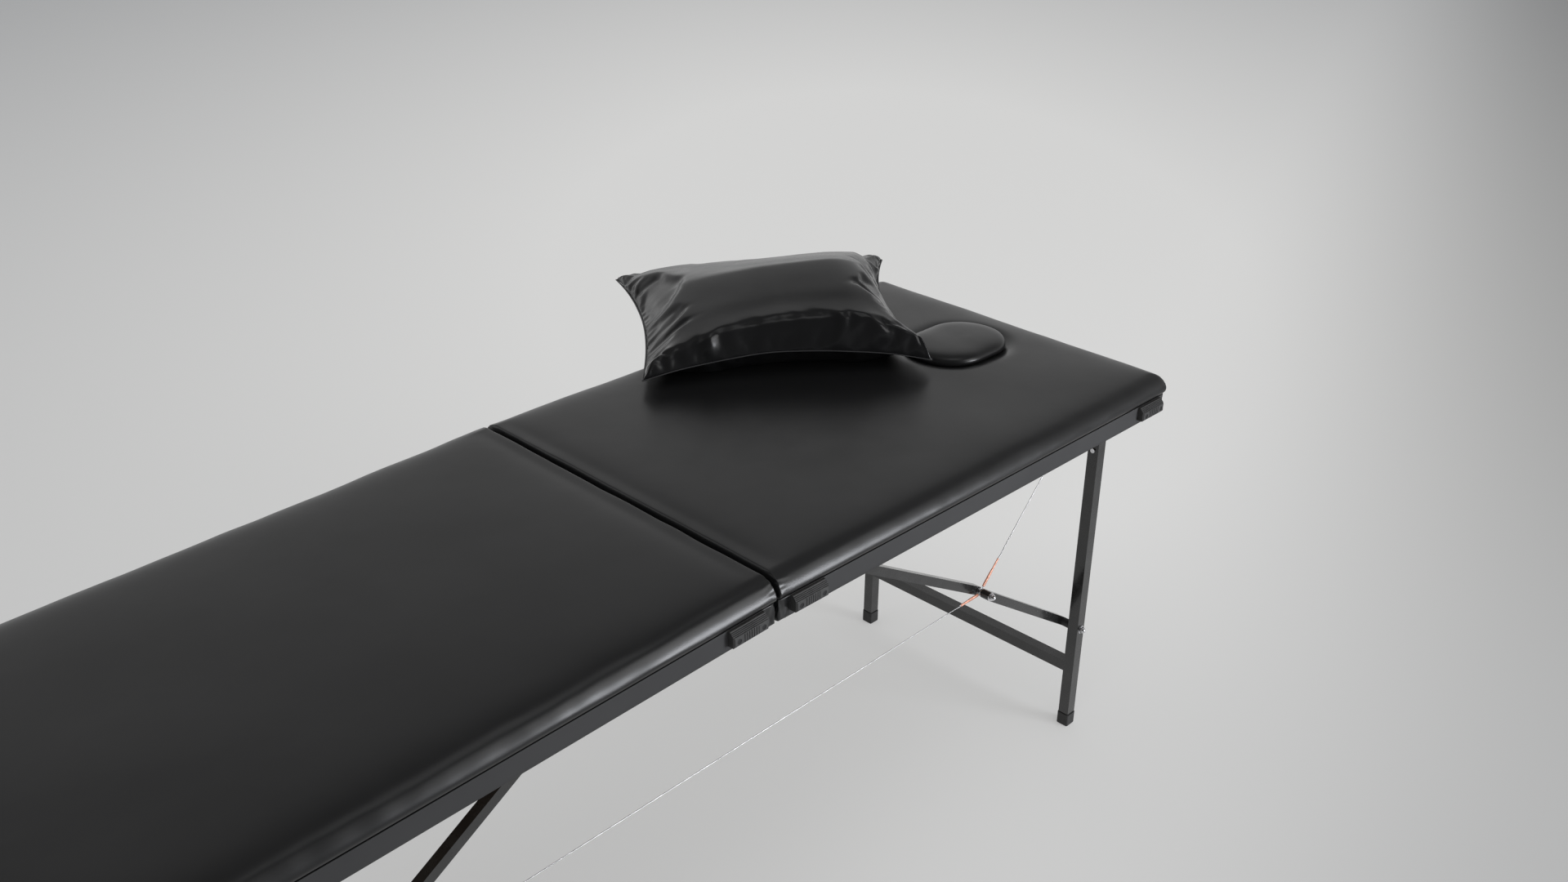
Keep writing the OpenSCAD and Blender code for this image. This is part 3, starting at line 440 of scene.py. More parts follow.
def pad_points():
    """A pad's points in its half's own frame, and its faces: the deck's grid and the band's rings."""
    length = END - START + 2 * (EDGE_LEN - CORNER)
    width = WIDTH + 2 * (EDGE_LEN - CORNER)
    xs, ys = stations(length), stations(width)
    points, at = [], {}
    for i, x in enumerate(xs):
        for j, y in enumerate(ys):
            tx, ty = min(x, length - x), min(y, width - y)
            t = min(tx, ty)
            s, across = outline_point(tx, ty, float(inset_of(t)), x > length / 2, y > width / 2)
            at[i, j] = len(points)
            points.append((s, across, float(np.interp(t, EDGE_T, EDGE[:, 1]))))
    faces = [
        (at[i, j], at[i + 1, j], at[i + 1, j + 1], at[i, j + 1])
        for i in range(len(xs) - 1) for j in range(len(ys) - 1)
    ]
    border = round_grid(len(xs) - 1, len(ys) - 1)
    ring = [at[corner] for corner in border]
    for inset, h in BAND_ROWS:
        lower = []
        for i, j in border:
            x, y = xs[i], ys[j]
            s, across = outline_point(min(x, length - x), min(y, width - y), inset,
                                      x > length / 2, y > width / 2)
            lower.append(len(points))
            points.append((s, across, h))
        n = len(ring)
        faces += [(ring[k], lower[k], lower[(k + 1) % n], ring[(k + 1) % n]) for k in range(n)]
        ring = lower
    return np.array(points), faces


def squeeze_hinge(s):
    """Pulls the rolled edge at the hinge line in, so that it turns down sharply there."""
    d = s - START
    squeezed = CORNER * HINGE_SQUEEZE
    near = np.clip(d, -4, CORNER) * HINGE_SQUEEZE
    beyond = squeezed + (d - CORNER) * (HINGE_REACH - squeezed) / (HINGE_REACH - CORNER)
    return START + np.where(d < CORNER, near, np.where(d < HINGE_REACH, beyond, d))


def deck_lift(side, s, y):
    """How far the deck rises over its edge's height, without the dip round the face hole."""
    in_x = np.minimum(s - START, END - s)
    in_y = WIDTH / 2 - np.abs(y)
    lift = 0
    for rise, run in CROWN_PARTS:
        swell = [1 - np.exp(-np.clip(d - CORNER, 0, None) / run) for d in (in_x, in_y)]
        lift = lift + rise * swell[0] * swell[1]
    flat = np.column_stack([s, y, 0 * s])
    far_edge = bell(WIDTH / 2 - y, 10, 40)
    return (lift + waves(flat, DECK_WAVE, 3 + side) + FAR_RISE * (0.5 + y / WIDTH)
            + far_edge * waves(flat, FAR_WAVE, 31))


def shape_pad(side, p):
    """Crowns the deck, puffs its edges and puts in the creases of the stretched cover."""
    p = np.column_stack([squeeze_hinge(p[:, 0]), p[:, 1:]])
    s, y, h = p.T
    in_x = np.minimum(s - START, END - s)
    in_y = WIDTH / 2 - np.abs(y)
    # Slack along the rolled edge, in long and short waves
    roll = fade(h, 36, 8) * bell(np.clip(np.minimum(in_x, in_y), 0, None), 0, 16)
    out = roll * (waves(np.column_stack([s, y, 0 * s]), ROLL_LONG, 11 + side)
                  + waves(np.column_stack([s, y, 0.5 * h]), ROLL_SHORT, 23 + side))
    # The cover is gathered at the corners, over the band and in the skirt below
    for end_s, deep in ((START, HINGE_GATHER), (END, END_GATHER)):
        for end_y in (-WIDTH / 2, WIDTH / 2):
            gap = np.hypot(s - end_s, y - end_y)
            near = bell(gap, 0, 15) * fade(h, 30, 5)
            out -= deep * near * np.clip(np.sin(h * 1.15 + 0.12 * (s - y) + end_y), 0, 1)
            skirt = bell(gap, 0, 17) * fade(h, 2, 6) * fade(h, 36, -6)
            out -= 1.2 * deep * skirt * (0.5 + 0.5 * np.sin(0.55 * gap + 0.22 * h))
    # A slanting fold where the cover is tucked under by the hinge line
    slant = s - START - 7 - TUCK_SLANT * h
    out -= TUCK * bell(slant, 0, TUCK_WIDTH) * fade(h, 1, 5) * fade(h, 34, -5)
    # Each place moves straight out from the border that is nearer
    top = fade(h, 52, 9)
    ends_nearer = in_x < in_y
    moved = p.copy()
    moved[:, 0] += np.where(ends_nearer, np.sign(s - (START + END) / 2), 0) * out
    moved[:, 1] += np.where(ends_nearer, 0, np.sign(y)) * out
    moved[:, 2] += deck_lift(side, s, y) * top + 0.4 * out * top
    if side == HEAD:
        moved[:, 2] -= dimple(s, y) * top
    moved[:, 0] = np.maximum(moved[:, 0], HINGE_CLEAR)
    return moved


def oval_gap(s, y):
    """Distance outside the face plug's outline."""
    along = np.clip(np.abs(s - PLUG_S) - PLUG_SPAN / 2, 0, None)
    return np.hypot(along, y) - PLUG_R


def dimple(s, y):
    """How far the deck is below its crown round the plug."""
    return DIMPLE / (1 + np.exp((oval_gap(s, y) - 5) / 4.5))


def oval_point(turn, off):
    """A point of the oval at a share of its way round, grown by off."""
    r = PLUG_R + off
    straight, arc = PLUG_SPAN, math.pi * r
    d = (turn % 1) * 2 * (straight + arc)
    if d < arc:
        a = -math.pi / 2 + d / r
        return PLUG_S + straight / 2 + r * math.cos(a), r * math.sin(a)
    if d < arc + straight:
        return PLUG_S + straight / 2 - (d - arc), r
    if d < 2 * arc + straight:
        a = math.pi / 2 + (d - arc - straight) / r
        return PLUG_S - straight / 2 + r * math.cos(a), r * math.sin(a)
    return PLUG_S - straight / 2 + (d - 2 * arc - straight), -r


def make_pad(side, name, body):
    points, faces = pad_points()
    if side == HEAD:
        points, faces = cut_face_hole(points, faces)
    else:
        faces = [f[::-1] for f in faces]
    pad = new_piece(name, to_row(side, shape_pad(side, points)), faces, body, "leatherette",
                    stands_for=(name.replace("pad", "cover"), name.replace("pad", "foam")))
    # The cover is dull where it is glued over the steel band, and its grey there is painted lighter to
    # stand in for the light that the band catches
    pad.data.materials.append(BAND_LEATHER_PAINTED_LIGHT)
    up = Vector(half_up(side))
    floor = Vector(to_row(side, [(0, 0, 0)])[0]).dot(up)
    for face in pad.data.polygons:
        low = face.center.dot(up) - floor < BAND_TOP * MM
        face.material_index = int(low and abs(face.center.x) > GATHERED * MM)
    return pad


def cut_face_hole(points, faces):
    """Opens the deck round the face hole, joins it to an oval lip and lines it down to the board."""
    lip = EDGE[-1][1]
    on_top = points[:, 2] > lip - 0.5
    gap = oval_gap(points[:, 0], points[:, 1]) + PLUG_LIP
    gone = on_top & (gap < HOLE_MARGIN)
    kept = [f for f in faces if not any(gone[v] for v in f)]
    edges = dict.fromkeys((a, b) for f in kept for a, b in zip(f, f[1:] + f[:1]))
    rim = {b: a for a, b in edges if (b, a) not in edges and on_top[a] and gap[a] < HOLE_REACH}
    start = next(iter(rim))
    loop, at = [start], rim[start]
    while at != start:
        loop.append(at)
        at = rim[at]
    # Where each point of the rim meets the oval, as shares of the way round it
    shares = np.linspace(0, 1, OVAL_STEPS, endpoint=False)
    oval = np.array([oval_point(t, -PLUG_LIP) for t in shares])
    nearest = [shares[np.argmin(np.linalg.norm(oval - points[v][:2], axis=1))] for v in loop]
    turns = np.unwrap(np.array(nearest) * 2 * np.pi) / (2 * np.pi)
    n = len(loop)
    even = turns[0] + (turns[-1] - turns[0]) * np.arange(n) / (n - 1)
    turns = (1 - EVENNESS) * turns + EVENNESS * even
    used = sorted({v for f in kept for v in f})
    renumber = {v: k for k, v in enumerate(used)}
    made = [tuple(renumber[v] for v in f) for f in kept]
    upper, extra = [renumber[v] for v in loop], []
    for grow, h in ((4.0, lip), (1.2, lip - 1.2), (0.0, lip - 4.0), (0.0, lip - 12.0),
                    (0.0, BAND_H + 8.0), (0.0, BAND_H - 3.0)):
        first = len(used) + len(extra)
        ring = list(range(first, first + n))
        extra += [(*oval_point(turn, grow - PLUG_LIP), h) for turn in turns]
        made += [(upper[k], upper[(k + 1) % n], ring[(k + 1) % n], ring[k]) for k in range(n)]
        upper = ring
    return np.vstack([points[used], np.array(extra)]), made


foot_pad = make_pad(FOOT, "foot_pad", "foot_half")
head_pad = make_pad(HEAD, "head_pad", "head_half")

# Face plug: an oval cap with a rounded edge, on a stem that fills the hole

# How far the deck's crown lifts the plug, and the waves in its cap
PLUG_UP, PLUG_WAVE = 2.5, (0.5, 55)
# The plug's side from the stem's foot to the middle of the cap: in from the oval, and up
PLUG_SIDE = catmull([
    (13.4, 51.5), (13.2, 56.0), (12.6, 60.6), (8.0, 61.9), (3.4, 62.9), (0.6, 65.2), (-0.3, 68.8),
    (0.4, 72.9), (3.0, 76.7), (8.0, 79.5), (16.0, 81.4), (28.0, 82.6), (45.0, 83.2), (60.0, 83.4),
], 2)
PLUG_AROUND = 96


def make_plug():
    shares = np.arange(PLUG_AROUND) / PLUG_AROUND
    p = np.array([(*oval_point(turn, -inset), h) for inset, h in PLUG_SIDE for turn in shares])
    p[:, 2] += PLUG_UP + waves(p, PLUG_WAVE, 5) * fade(p[:, 2], 62, 10)
    return new_piece("plug", to_row(HEAD, p), tube_faces(len(PLUG_SIDE), PLUG_AROUND), "face_plug",
                     "leatherette", stands_for=("face_plug",))


plug = make_plug()

# Pillow: two sheets sewn round the edge, filled, with pointed ears

PILLOW = dict(s=549.0, y=266.0, turn=-34.5, len=458.0, wide=428.0, over=94.0, under=29.0, draw=0.1)
HALF_LEN, HALF_WIDE = PILLOW["len"] / 2, PILLOW["wide"] / 2
# How far it rests over the deck
REST_GAP = 0.3
PILLOW_SEAM_H = DECK_H + REST_GAP + PILLOW["under"]
# How far each ear (end, side) is moved along, across and up, in mm
EARS = {(-1, -1): (-2, -3, -6), (1, -1): (3, 0, -5), (1, 1): (31, 5, 11), (-1, 1): (-2, 0, 3)}
# How far the middle of each seam rises over its ears, and how far the seam wanders between them
ARCH, WANDER = {"front": 18.0, "back": 8.0, "ends": 10.0}, 3.2
# The share of its height that the form has before billow() swells it
FORM_SHARE = 0.97
# How much the filling thins out behind the front ears on top, and behind all four underneath
TOP_THIN, UNDER_THIN = 0.25, 0.42
# How the height grows to the right and falls to the left, most at the front, as a share
RIGHT_RISE = 0.035
# Share of the full height at each distance in from the seam, in mm: a steep front wall with an edge,
# a steep right end with a ridge, a soft left end, a long slope at the back, and the underside
FRONT_WALL = catmull([
    (0, 0), (2, 0.22), (5, 0.46), (8, 0.60), (11, 0.675), (14, 0.70), (22, 0.715), (60, 0.77),
    (100, 0.85), (140, 0.91), (180, 0.96), (214, 0.985), (260, 0.985),
], 6)
BACK_WALL = catmull([
    (0, 0), (6, 0.12), (14, 0.22), (40, 0.43), (60, 0.52), (90, 0.64), (120, 0.735), (150, 0.83),
    (180, 0.915), (214, 0.985), (260, 0.985),
], 6)
RIGHT_WALL = catmull([
    (0, 0), (10, 0.28), (20, 0.48), (30, 0.64), (38, 0.75), (43, 0.80), (50, 0.85), (70, 0.94),
    (100, 1.0), (140, 1.0), (190, 0.975), (229, 0.95), (260, 0.95),
], 6)
LEFT_WALL = catmull([
    (0, 0), (10, 0.17), (25, 0.37), (46, 0.54), (69, 0.65), (100, 0.75), (140, 0.83),
    (190, 0.90), (229, 0.95), (260, 0.95),
], 6)
UNDER_WALL = catmull([
    (0, 0), (6, 0.16), (16, 0.42), (30, 0.68), (48, 0.88), (70, 0.97), (100, 1.0),
    (160, 1.0), (260, 1.0),
], 6)
# Radial creases at the ears and puckers along the seams: how deep, in mm
EAR_CREASE, PUCKER = 0.8, 0.45
# Upright folds in the walls: place along the side as a share, depth and width in mm
FOLDS = [(-0.70, 2.4, 12), (-0.54, 7.0, 14), (-0.38, 2.2, 11), (0.12, 0.9, 26), (0.40, 2.2, 14),
         (0.66, 3.0, 13), (0.82, 1.4, 8)]
# How much of the folds' depth the other three sides and the underside have
QUIET_FOLDS = 0.3


def pillow_form(u, v, up):
    """A point of the filled pillow at u, v in -1..1, over its seam for up = 1 and under it for -1."""
    in_u, in_v = (1 - abs(u)) * HALF_LEN, (1 - abs(v)) * HALF_WIDE
    back = max(v, 0.0)
    if up > 0:
        end = np.interp(in_u, *(RIGHT_WALL if u > 0 else LEFT_WALL).T) ** (1 - 0.5 * back)
        puff = end * np.interp(in_v, *(FRONT_WALL if v < 0 else BACK_WALL).T)
    else:
        puff = np.interp(in_u, *UNDER_WALL.T) * np.interp(in_v, *UNDER_WALL.T)
    # The ears are full to the tip, and the filling thins out behind them
    gap = math.hypot(in_u, in_v)
    thin = TOP_THIN * (1 - back) if up > 0 else UNDER_THIN
    puff = puff ** (1 - 0.4 * bell(gap, 0, 40)) * (1 - thin * bell(gap, 48, 46))
    arch = (1 - u * u) * (ARCH["front"] * ((1 - v) / 2) ** 2 + ARCH["back"] * ((1 + v) / 2) ** 2)
    arch += (1 - v * v) * ARCH["ends"] * (((1 - u) / 2) ** 2 + ((1 + u) / 2) ** 2 - 0.5)
    arch += WANDER * noise.noise(Vector((2.6 * u, 2.6 * v, 4.1))) * (1 - u * u * v * v)
    full = PILLOW["over"] * FORM_SHARE - arch if up > 0 else -PILLOW["under"] - arch
    full *= 1 + RIGHT_RISE * u * (1 - v) * (up > 0)
    p = np.array([
        HALF_LEN * u * (1 - PILLOW["draw"] * (1 - v * v)),
        HALF_WIDE * v * (1 - PILLOW["draw"] * (1 - u * u)),
        arch + puff * full,
    ])
    for (a, b), move in EARS.items():
        weight = ((1 + a * u) / 2 * (1 + b * v) / 2) ** 3
        p += weight * np.array(move, float)
    return p + pillow_creases(u, v, up, in_u, in_v)


def pillow_creases(u, v, up, in_u, in_v):
    """How far creases, puckers and folds move the point that lies in_u, in_v in from the seams."""
    gap, near = math.hypot(in_u, in_v), min(in_u, in_v)
    # Creases that fan out from each ear, and fine puckers where the filling pulls on the seam
    fan = bell(gap, 42, 30) * math.sin(math.atan2(in_v, in_u) * 9 + 2.5 * u + 1.3 * v)
    on_end = in_u < in_v
    share, span = (v, HALF_WIDE) if on_end else (u, HALF_LEN)
    other = 3.1 * on_end + 5.3 * math.copysign(1, u if on_end else v)
    pull = bell(near, 13, 13) * min(1, near / 5)
    wave = noise.noise(Vector((share * span / 13, other, 2.2)))
    rise = up * (EAR_CREASE * fan * min(1, near / 5) + 2 * PUCKER * pull * wave)
    # The folds are deepest in the front wall
    flip = 1 if not on_end and v < 0 else -1
    fold = sum(deep * bell((share * flip - where) * span, 0, wide) for where, deep, wide in FOLDS)
    fold *= bell(near, 15, 14) * min(1, near / 4) * (1 if flip > 0 and up > 0 else QUIET_FOLDS)
    return np.array([fold * math.copysign(on_end, u), fold * math.copysign(not on_end, v), rise])


def pillow_to_half(p):
    turn = math.radians(PILLOW["turn"])
    c, w = math.cos(turn), math.sin(turn)
    q = np.asarray(p, float)
    return np.column_stack([
        PILLOW["s"] + c * q[:, 0] - w * q[:, 1], PILLOW["y"] + w * q[:, 0] + c * q[:, 1],
        PILLOW_SEAM_H + q[:, 2],
    ])


def make_pillow():
    # The grid's squares, and how far its lines crowd towards the seam
    count, crowd = 84, 0.86
    lines = np.sin(np.linspace(-1, 1, count + 1) * math.pi / 2 * crowd) / math.sin(math.pi / 2 * crowd)
    points, at, faces, seam = [], {}, [], []
    for up in (1, -1):
        for i, u in enumerate(lines):
            for j, v in enumerate(lines):
                rim = i in (0, count) or j in (0, count)
                if rim and up < 0:
                    at[up, i, j] = at[1, i, j]
                    continue
                at[up, i, j] = len(points)
                if rim:
                    seam.append(len(points))
                points.append(pillow_form(u, v, up))
        for i in range(count):
            for j in range(count):
                f = (at[up, i, j], at[up, i + 1, j], at[up, i + 1, j + 1], at[up, i, j + 1])
                faces.append(f if up > 0 else f[::-1])
    pillow = new_piece("pillow_cover", to_row(HEAD, pillow_to_half(points)), faces, "pillow",
                       "leatherette", PILLOW_LEATHER, stands_for=("pillow",), levels=0)
    billow(pillow, seam)
    edge = np.array([pillow.data.vertices[at[1, i, j]].co for j, i in round_grid(count, count)])
    rest_on_deck(pillow)
    refine(pillow, 1)
    shade_smooth(pillow)
    make_welt(edge)
    return pillow


def rest_on_deck(piece):
    """Flattens the pillow's underside where it lies on the crowned deck."""
    up, along = Vector(half_up(HEAD)), Vector((math.cos(CROWN), 0.0, -math.sin(CROWN)))
    zero = Vector(to_row(HEAD, [(0, 0, 0)])[0])
    places = np.array([((v.co - zero).dot(along), v.co.y - zero.y, (v.co - zero).dot(up))
                       for v in piece.data.vertices]) / MM
    deck = EDGE[-1][1] + deck_lift(HEAD, places[:, 0], places[:, 1]) + REST_GAP
    over = fade(places[:, 1], WIDTH / 2 + 2, -12)
    for vertex, push in zip(piece.data.vertices, np.clip(deck - places[:, 2], 0, None) * over * MM):
        vertex.co += up * float(push)


# The welt, in metres: how far it stands out, half its thickness, and its rings' spacing
WELT_OUT, WELT_HALF, WELT_STEP = 0.0016, 0.0010, 0.0012
# The length of a stitch in metres, and how much thinner the welt is there
STITCH, STITCH_SINK = 0.005, 0.28


def make_welt(edge):
    """The folded lip of the pillow's seam, with a row of sunk stitches."""
    closed = np.vstack([edge, edge[:1]])
    run = np.concatenate([[0], np.cumsum(np.linalg.norm(np.diff(closed, axis=0), axis=1))])
    at = np.linspace(0, run[-1], int(run[-1] / WELT_STEP), endpoint=False)
    path = np.column_stack([np.interp(at, run, closed[:, k]) for k in range(3)])
    way = np.roll(path, -1, axis=0) - np.roll(path, 1, axis=0)
    way /= np.linalg.norm(way, axis=1, keepdims=True)
    out = np.cross(way, (0, 0, 1))
    out *= np.sign(np.sum(out * (path - path.mean(0)), axis=1).mean())
    sunk = 1 - STITCH_SINK * (np.sin(at * 2 * math.pi / STITCH) > 0.2)
    sides = 8
    turns = np.linspace(0, 2 * math.pi, sides, endpoint=False)
    rings = (path[:, None] + WELT_OUT * (0.3 + np.cos(turns))[None, :, None] * out[:, None]
             + WELT_HALF * sunk[:, None, None] * np.sin(turns)[None, :, None] * np.array((0, 0, 1.0)))
    n = len(path)
    faces = [(r * sides + k, r * sides + (k + 1) % sides,
              (r + 1) % n * sides + (k + 1) % sides, (r + 1) % n * sides + k)
             for r in range(n) for k in range(sides)]
    welt = new_piece("pillow_welt", rings.reshape(-1, 3), faces, "pillow", "leatherette", WELT_LEATHER_PAINTED_LIGHT,
                     levels=0)
    face_outwards(welt)


# Frames that the cloth is run for, and how far it may move, in metres
BILLOW_FRAMES, BILLOW_CAP = 20, 0.005


def billow(piece, held):
    """Blows the cover up a little with cloth, held at its seam, so that it puckers as sewn cloth does."""
    group = piece.vertex_groups.new(name="held")
    group.add(held, 1.0, "REPLACE")
    before = np.array([v.co for v in piece.data.vertices])
    cloth = piece.modifiers.new("cloth", "CLOTH")
    cloth.settings.quality = 6
    cloth.settings.mass = 0.3
    cloth.settings.tension_stiffness = cloth.settings.compression_stiffness = 20
    cloth.settings.shear_stiffness = 8
    cloth.settings.bending_stiffness = 0.6
    cloth.settings.use_pressure = True
    cloth.settings.uniform_pressure_force = 3.0
    cloth.settings.shrink_min = -0.035
    cloth.settings.vertex_group_mass = "held"
    cloth.settings.effector_weights.gravity = 0
    cloth.collision_settings.use_collision = False
    for step in range(1, BILLOW_FRAMES + 1):
        scene.frame_set(step)
    seen = bpy.context.evaluated_depsgraph_get()
    shaped = bpy.data.meshes.new_from_object(piece.evaluated_get(seen))
    move = np.array([v.co for v in shaped.vertices]) - before
    size = np.linalg.norm(move, axis=1, keepdims=True)
    move *= np.minimum(1, BILLOW_CAP / np.maximum(size, 1e-9))
    bpy.data.meshes.remove(shaped)
    piece.modifiers.clear()
    piece.vertex_groups.clear()
    piece.data.vertices.foreach_set("co", (before + move).ravel())
    piece.data.update()
    scene.frame_set(1)


pillow = make_pillow()

# Brace cables: taut wire rope with an eye at each end, held in a crimped copper sleeve

# The knee and the anchor in a half's own frame, along and up, and the knee in the row's
KNEE_S, KNEE_H = 596.407, -269.137
ANCHOR_S, ANCHOR_H = 860.0, 11.0
KNEE_X, _, KNEE_Z = to_row(1, [(KNEE_S, 0, KNEE_H)])[0] / MM
# How far the end cables and the middle cables run from the couch's middle
END_WIRE_Y, MID_WIRE_Y = 188.25, 191.25
# The wire's radius, half the spacing of two wires side by side, and how far from an eye they meet
WIRE_R, WIRE_GAP, WIRE_NECK = 0.8, 0.85, 9.0
KNEE_EYE, ANCHOR_EYE = 5.5, 3.5
# Where the knee's sleeves start, and the lengths of the sleeves and of the anchor's crimp
SLEEVE_START, END_SLEEVE, MID_SLEEVE, CRIMP = 10.0, 53.0, 45.0, 12.0
# Half a sleeve's width and thickness, and how much slimmer its second half is
SLEEVE_R, END_SLIM, MID_SLIM = (2.9, 2.0), 0.3, 0.2
# Strands of the rope, and how far they turn in each mm
STRANDS, TWIST = 6, math.radians(24)


def eye_round(centre, r, way):
    """The corners of a wire's eye; way is 1 where the neck lies further along the cable."""
    first = math.acos(r / WIRE_NECK)
    turns = np.linspace(first, 2 * math.pi - first, 14)
    corners = [(WIRE_NECK, WIRE_GAP)] + [(r * math.cos(t), r * math.sin(t)) for t in turns]
    corners.append((WIRE_NECK, -WIRE_GAP))
    return [(centre + way * a, way * b) for a, b in corners]


def even_path(corners, step=1.0):
    """Points a step apart along the corners, with the corners rounded off."""
    p = np.asarray(corners, float)
    run = np.concatenate([[0], np.cumsum(np.linalg.norm(np.diff(p, axis=0), axis=1))])
    at = np.linspace(0, run[-1], int(run[-1] / step) + 1)
    path = np.column_stack([np.interp(at, run, p[:, k]) for k in (0, 1)])
    for _ in range(3):
        path[1:-1] = (path[:-2] + 2 * path[1:-1] + path[2:]) / 4
    return path


def swept(path, outlines):
    """A closed tube along a flat path; outlines hold offsets (across the path, along y) per point."""
    run = np.gradient(path, axis=0)
    run /= np.linalg.norm(run, axis=1, keepdims=True)
    across = np.column_stack([-run[:, 1], run[:, 0]])
    rings = np.asarray(outlines)
    flat = path[:, None] + across[:, None] * rings[:, :, :1]
    points = np.concatenate([flat, rings[:, :, 1:]], axis=2).reshape(-1, 3)
    return points, tube_faces(len(path), len(outlines[0]))


def wire(corners):
    """Twisted rope along the corners: its outline has a bump for each strand, and turns."""
    path = even_path(corners)
    turns = np.linspace(0, 2 * math.pi, 2 * STRANDS, endpoint=False)
    bumps = WIRE_R * np.where(np.arange(2 * STRANDS) % 2, 0.8, 1.0)
    twists = [turns + k * TWIST for k in range(len(path))]
    return swept(path, [np.column_stack([bumps * np.cos(a), bumps * np.sin(a)]) for a in twists])


def ferrule(start, length, slim=0.0):
    """A crimped sleeve on two wires side by side; slim narrows its second half."""
    turns = np.linspace(0, 2 * math.pi, 24, endpoint=False)
    at = np.linspace(0, length, int(length / 0.8) + 2)
    edge = np.clip(np.minimum(at, length - at) / 0.9, 0, 1)
    grow = (0.82 + 0.18 * np.sqrt(edge)) * (1 - slim / (1 + np.exp((length * 0.55 - at) / 2)))
    pressed = 1 - 0.10 * np.clip(np.sin(at * 2 * math.pi / 6.5), 0, 1) ** 2
    width, thick = SLEEVE_R
    rings = [np.column_stack([width * g * np.cos(turns), thick * g * p * np.sin(turns)])
             for g, p in zip(grow, pressed)]
    return swept(np.column_stack([start + at, 0 * at]), rings)


def joined(parts):
    points, faces, count = [], [], 0
    for p, f in parts:
        points.append(p)
        faces += [tuple(v + count for v in face) for face in f]
        count += len(p)
    return np.vstack(points), faces


def from_knee(sleeve, rest):
    """A cable's corners: out of its sleeve, round the knee's eye, back through the sleeve and on."""
    out = SLEEVE_START + sleeve
    return ([(out + 2, WIRE_GAP)] + eye_round(0, KNEE_EYE, 1)
            + [(out, -WIRE_GAP), (out + 30, 0)] + rest)


def make_cables(side, half, body):
    """A half's four cables as one piece and their sleeves as another."""
    run, climb = ANCHOR_S - KNEE_S, ANCHOR_H - KNEE_H
    length = math.hypot(run, climb)
    rise = math.atan2(climb, run)
    crimp = length - WIRE_NECK - CRIMP
    end_path = from_knee(END_SLEEVE, [(length - 50, 0), (crimp, WIRE_GAP)]
                         + eye_round(length, ANCHOR_EYE, -1)[::-1] + [(crimp - 2, -WIRE_GAP)])
    mid_path = from_knee(MID_SLEEVE, [(KNEE_X - 0.1, 0)])

    def on_slope(part, flip):
        (a, b, y), faces = part[0].T, part[1]
        return to_row(side, np.column_stack([
            KNEE_S + a * math.cos(rise) - b * math.sin(rise), flip * (END_WIRE_Y + y),
            KNEE_H + a * math.sin(rise) + b * math.cos(rise)])), faces

    def level(part, flip):
        (a, b, y), faces = part[0].T, part[1]
        return np.column_stack([
            side * (KNEE_X - a), CENTRE_Y + flip * (MID_WIRE_Y + y), KNEE_Z + b]) * MM, faces

    wires, sleeves = [], []
    for flip in (-1, 1):
        wires += [on_slope(wire(end_path), flip), level(wire(mid_path), flip)]
        sleeves += [on_slope(ferrule(SLEEVE_START, END_SLEEVE, END_SLIM), flip),
                    on_slope(ferrule(crimp, CRIMP), flip),
                    level(ferrule(SLEEVE_START, MID_SLEEVE, MID_SLIM), flip)]
    for name, slot, parts, stands_for in (
            ("cables", "cable", wires, ("end_cables", "mid_cables")),
            ("sleeves", "sleeve", sleeves, ("cable_sleeves",))):
        points, faces = joined(parts)
        piece = new_piece(f"{half}_{name}", points, faces, body, slot, levels=0,
                          stands_for=[f"{half}_{node}" for node in stands_for])
        face_outwards(piece)
        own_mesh(piece)


make_cables(FOOT, "foot", "foot_half")
make_cables(HEAD, "head", "head_half")

# Floor, light and camera

FLOOR_R, FLOOR_SIDES = 40.0, 48
# The studio's paper: its two greys, the long pool of light painted on it, and the way its painted falloff
# of light gets darker
PAPER_GREYS = (0.165, 0.168, 0.172), (0.335, 0.335, 0.332)
POOL_CENTRE, POOL_SIZE, POOL_TURN = (2.6, 1.6, 0), (15, 8.5, 1), math.radians(45)
FLOOR_FALLOFF_WAY = (0.344, -0.939, 0)
# Greys from the horizon up: what lights the room, and the pale walls and dark ceiling that show
ROOM_LIGHT = [(0.0, 0.85), (0.4, 0.62), (1.0, 0.36)]
ROOM_SHOWN = [(0.0, 1.0), (0.16, 0.82), (0.3, 0.58), (0.43, 0.47), (0.58, 0.46), (0.74, 0.13),
              (1.0, 0.15)]
# Where the walls get darker: the direction, the share that is left, and from where to where
DARK_WALLS = ((0.77, -0.64, 0), 0.6, 0.25, 0.8), ((-0.707, -0.707, 0), 0.06, 0.3, 0.72)
WHITE = (1, 1, 1)
LAMPS = {
    "key": dict(centre=(1.60, -2.85, 0.62), aim=(0.05, -0.38, 0.65), size=(1.05, 1.05),
                radiance=15.0, colour=(0.93, 0.95, 1.0)),
    "key_glow": dict(centre=(1.50, -2.75, 1.95), aim=(0.05, -0.38, 0.65), size=(1.4, 1.3),
                     radiance=2.2, colour=WHITE),
    "top": dict(centre=(0.5, -0.95, 3.0), aim=(-0.2, -0.4, 0.7), size=(1.2, 1.0),
                radiance=0.7, colour=WHITE),
}
SUN_WAY, SUN_SPREAD, SUN_ENERGY = (0.35, 0.45, -1.0), math.radians(100), 1.5
# The camera fitted to the photo: focal length and width in the photo's pixels, place, and
# yaw, pitch and roll in degrees
FOCAL, PHOTO_WIDTH, SENSOR = 1832.10, 1919, 36
CAMERA_AT, CAMERA_TURN = (-1.1074, -1.5339, 1.6951), (45.5134, 27.0781, -0.1111)


def dot_with(tree, vector, way):
    dot = tree.nodes.new("ShaderNodeVectorMath")
    dot.operation = "DOT_PRODUCT"
    dot.inputs[1].default_value = way
    tree.links.new(vector, dot.inputs[0])
    return dot.outputs["Value"]


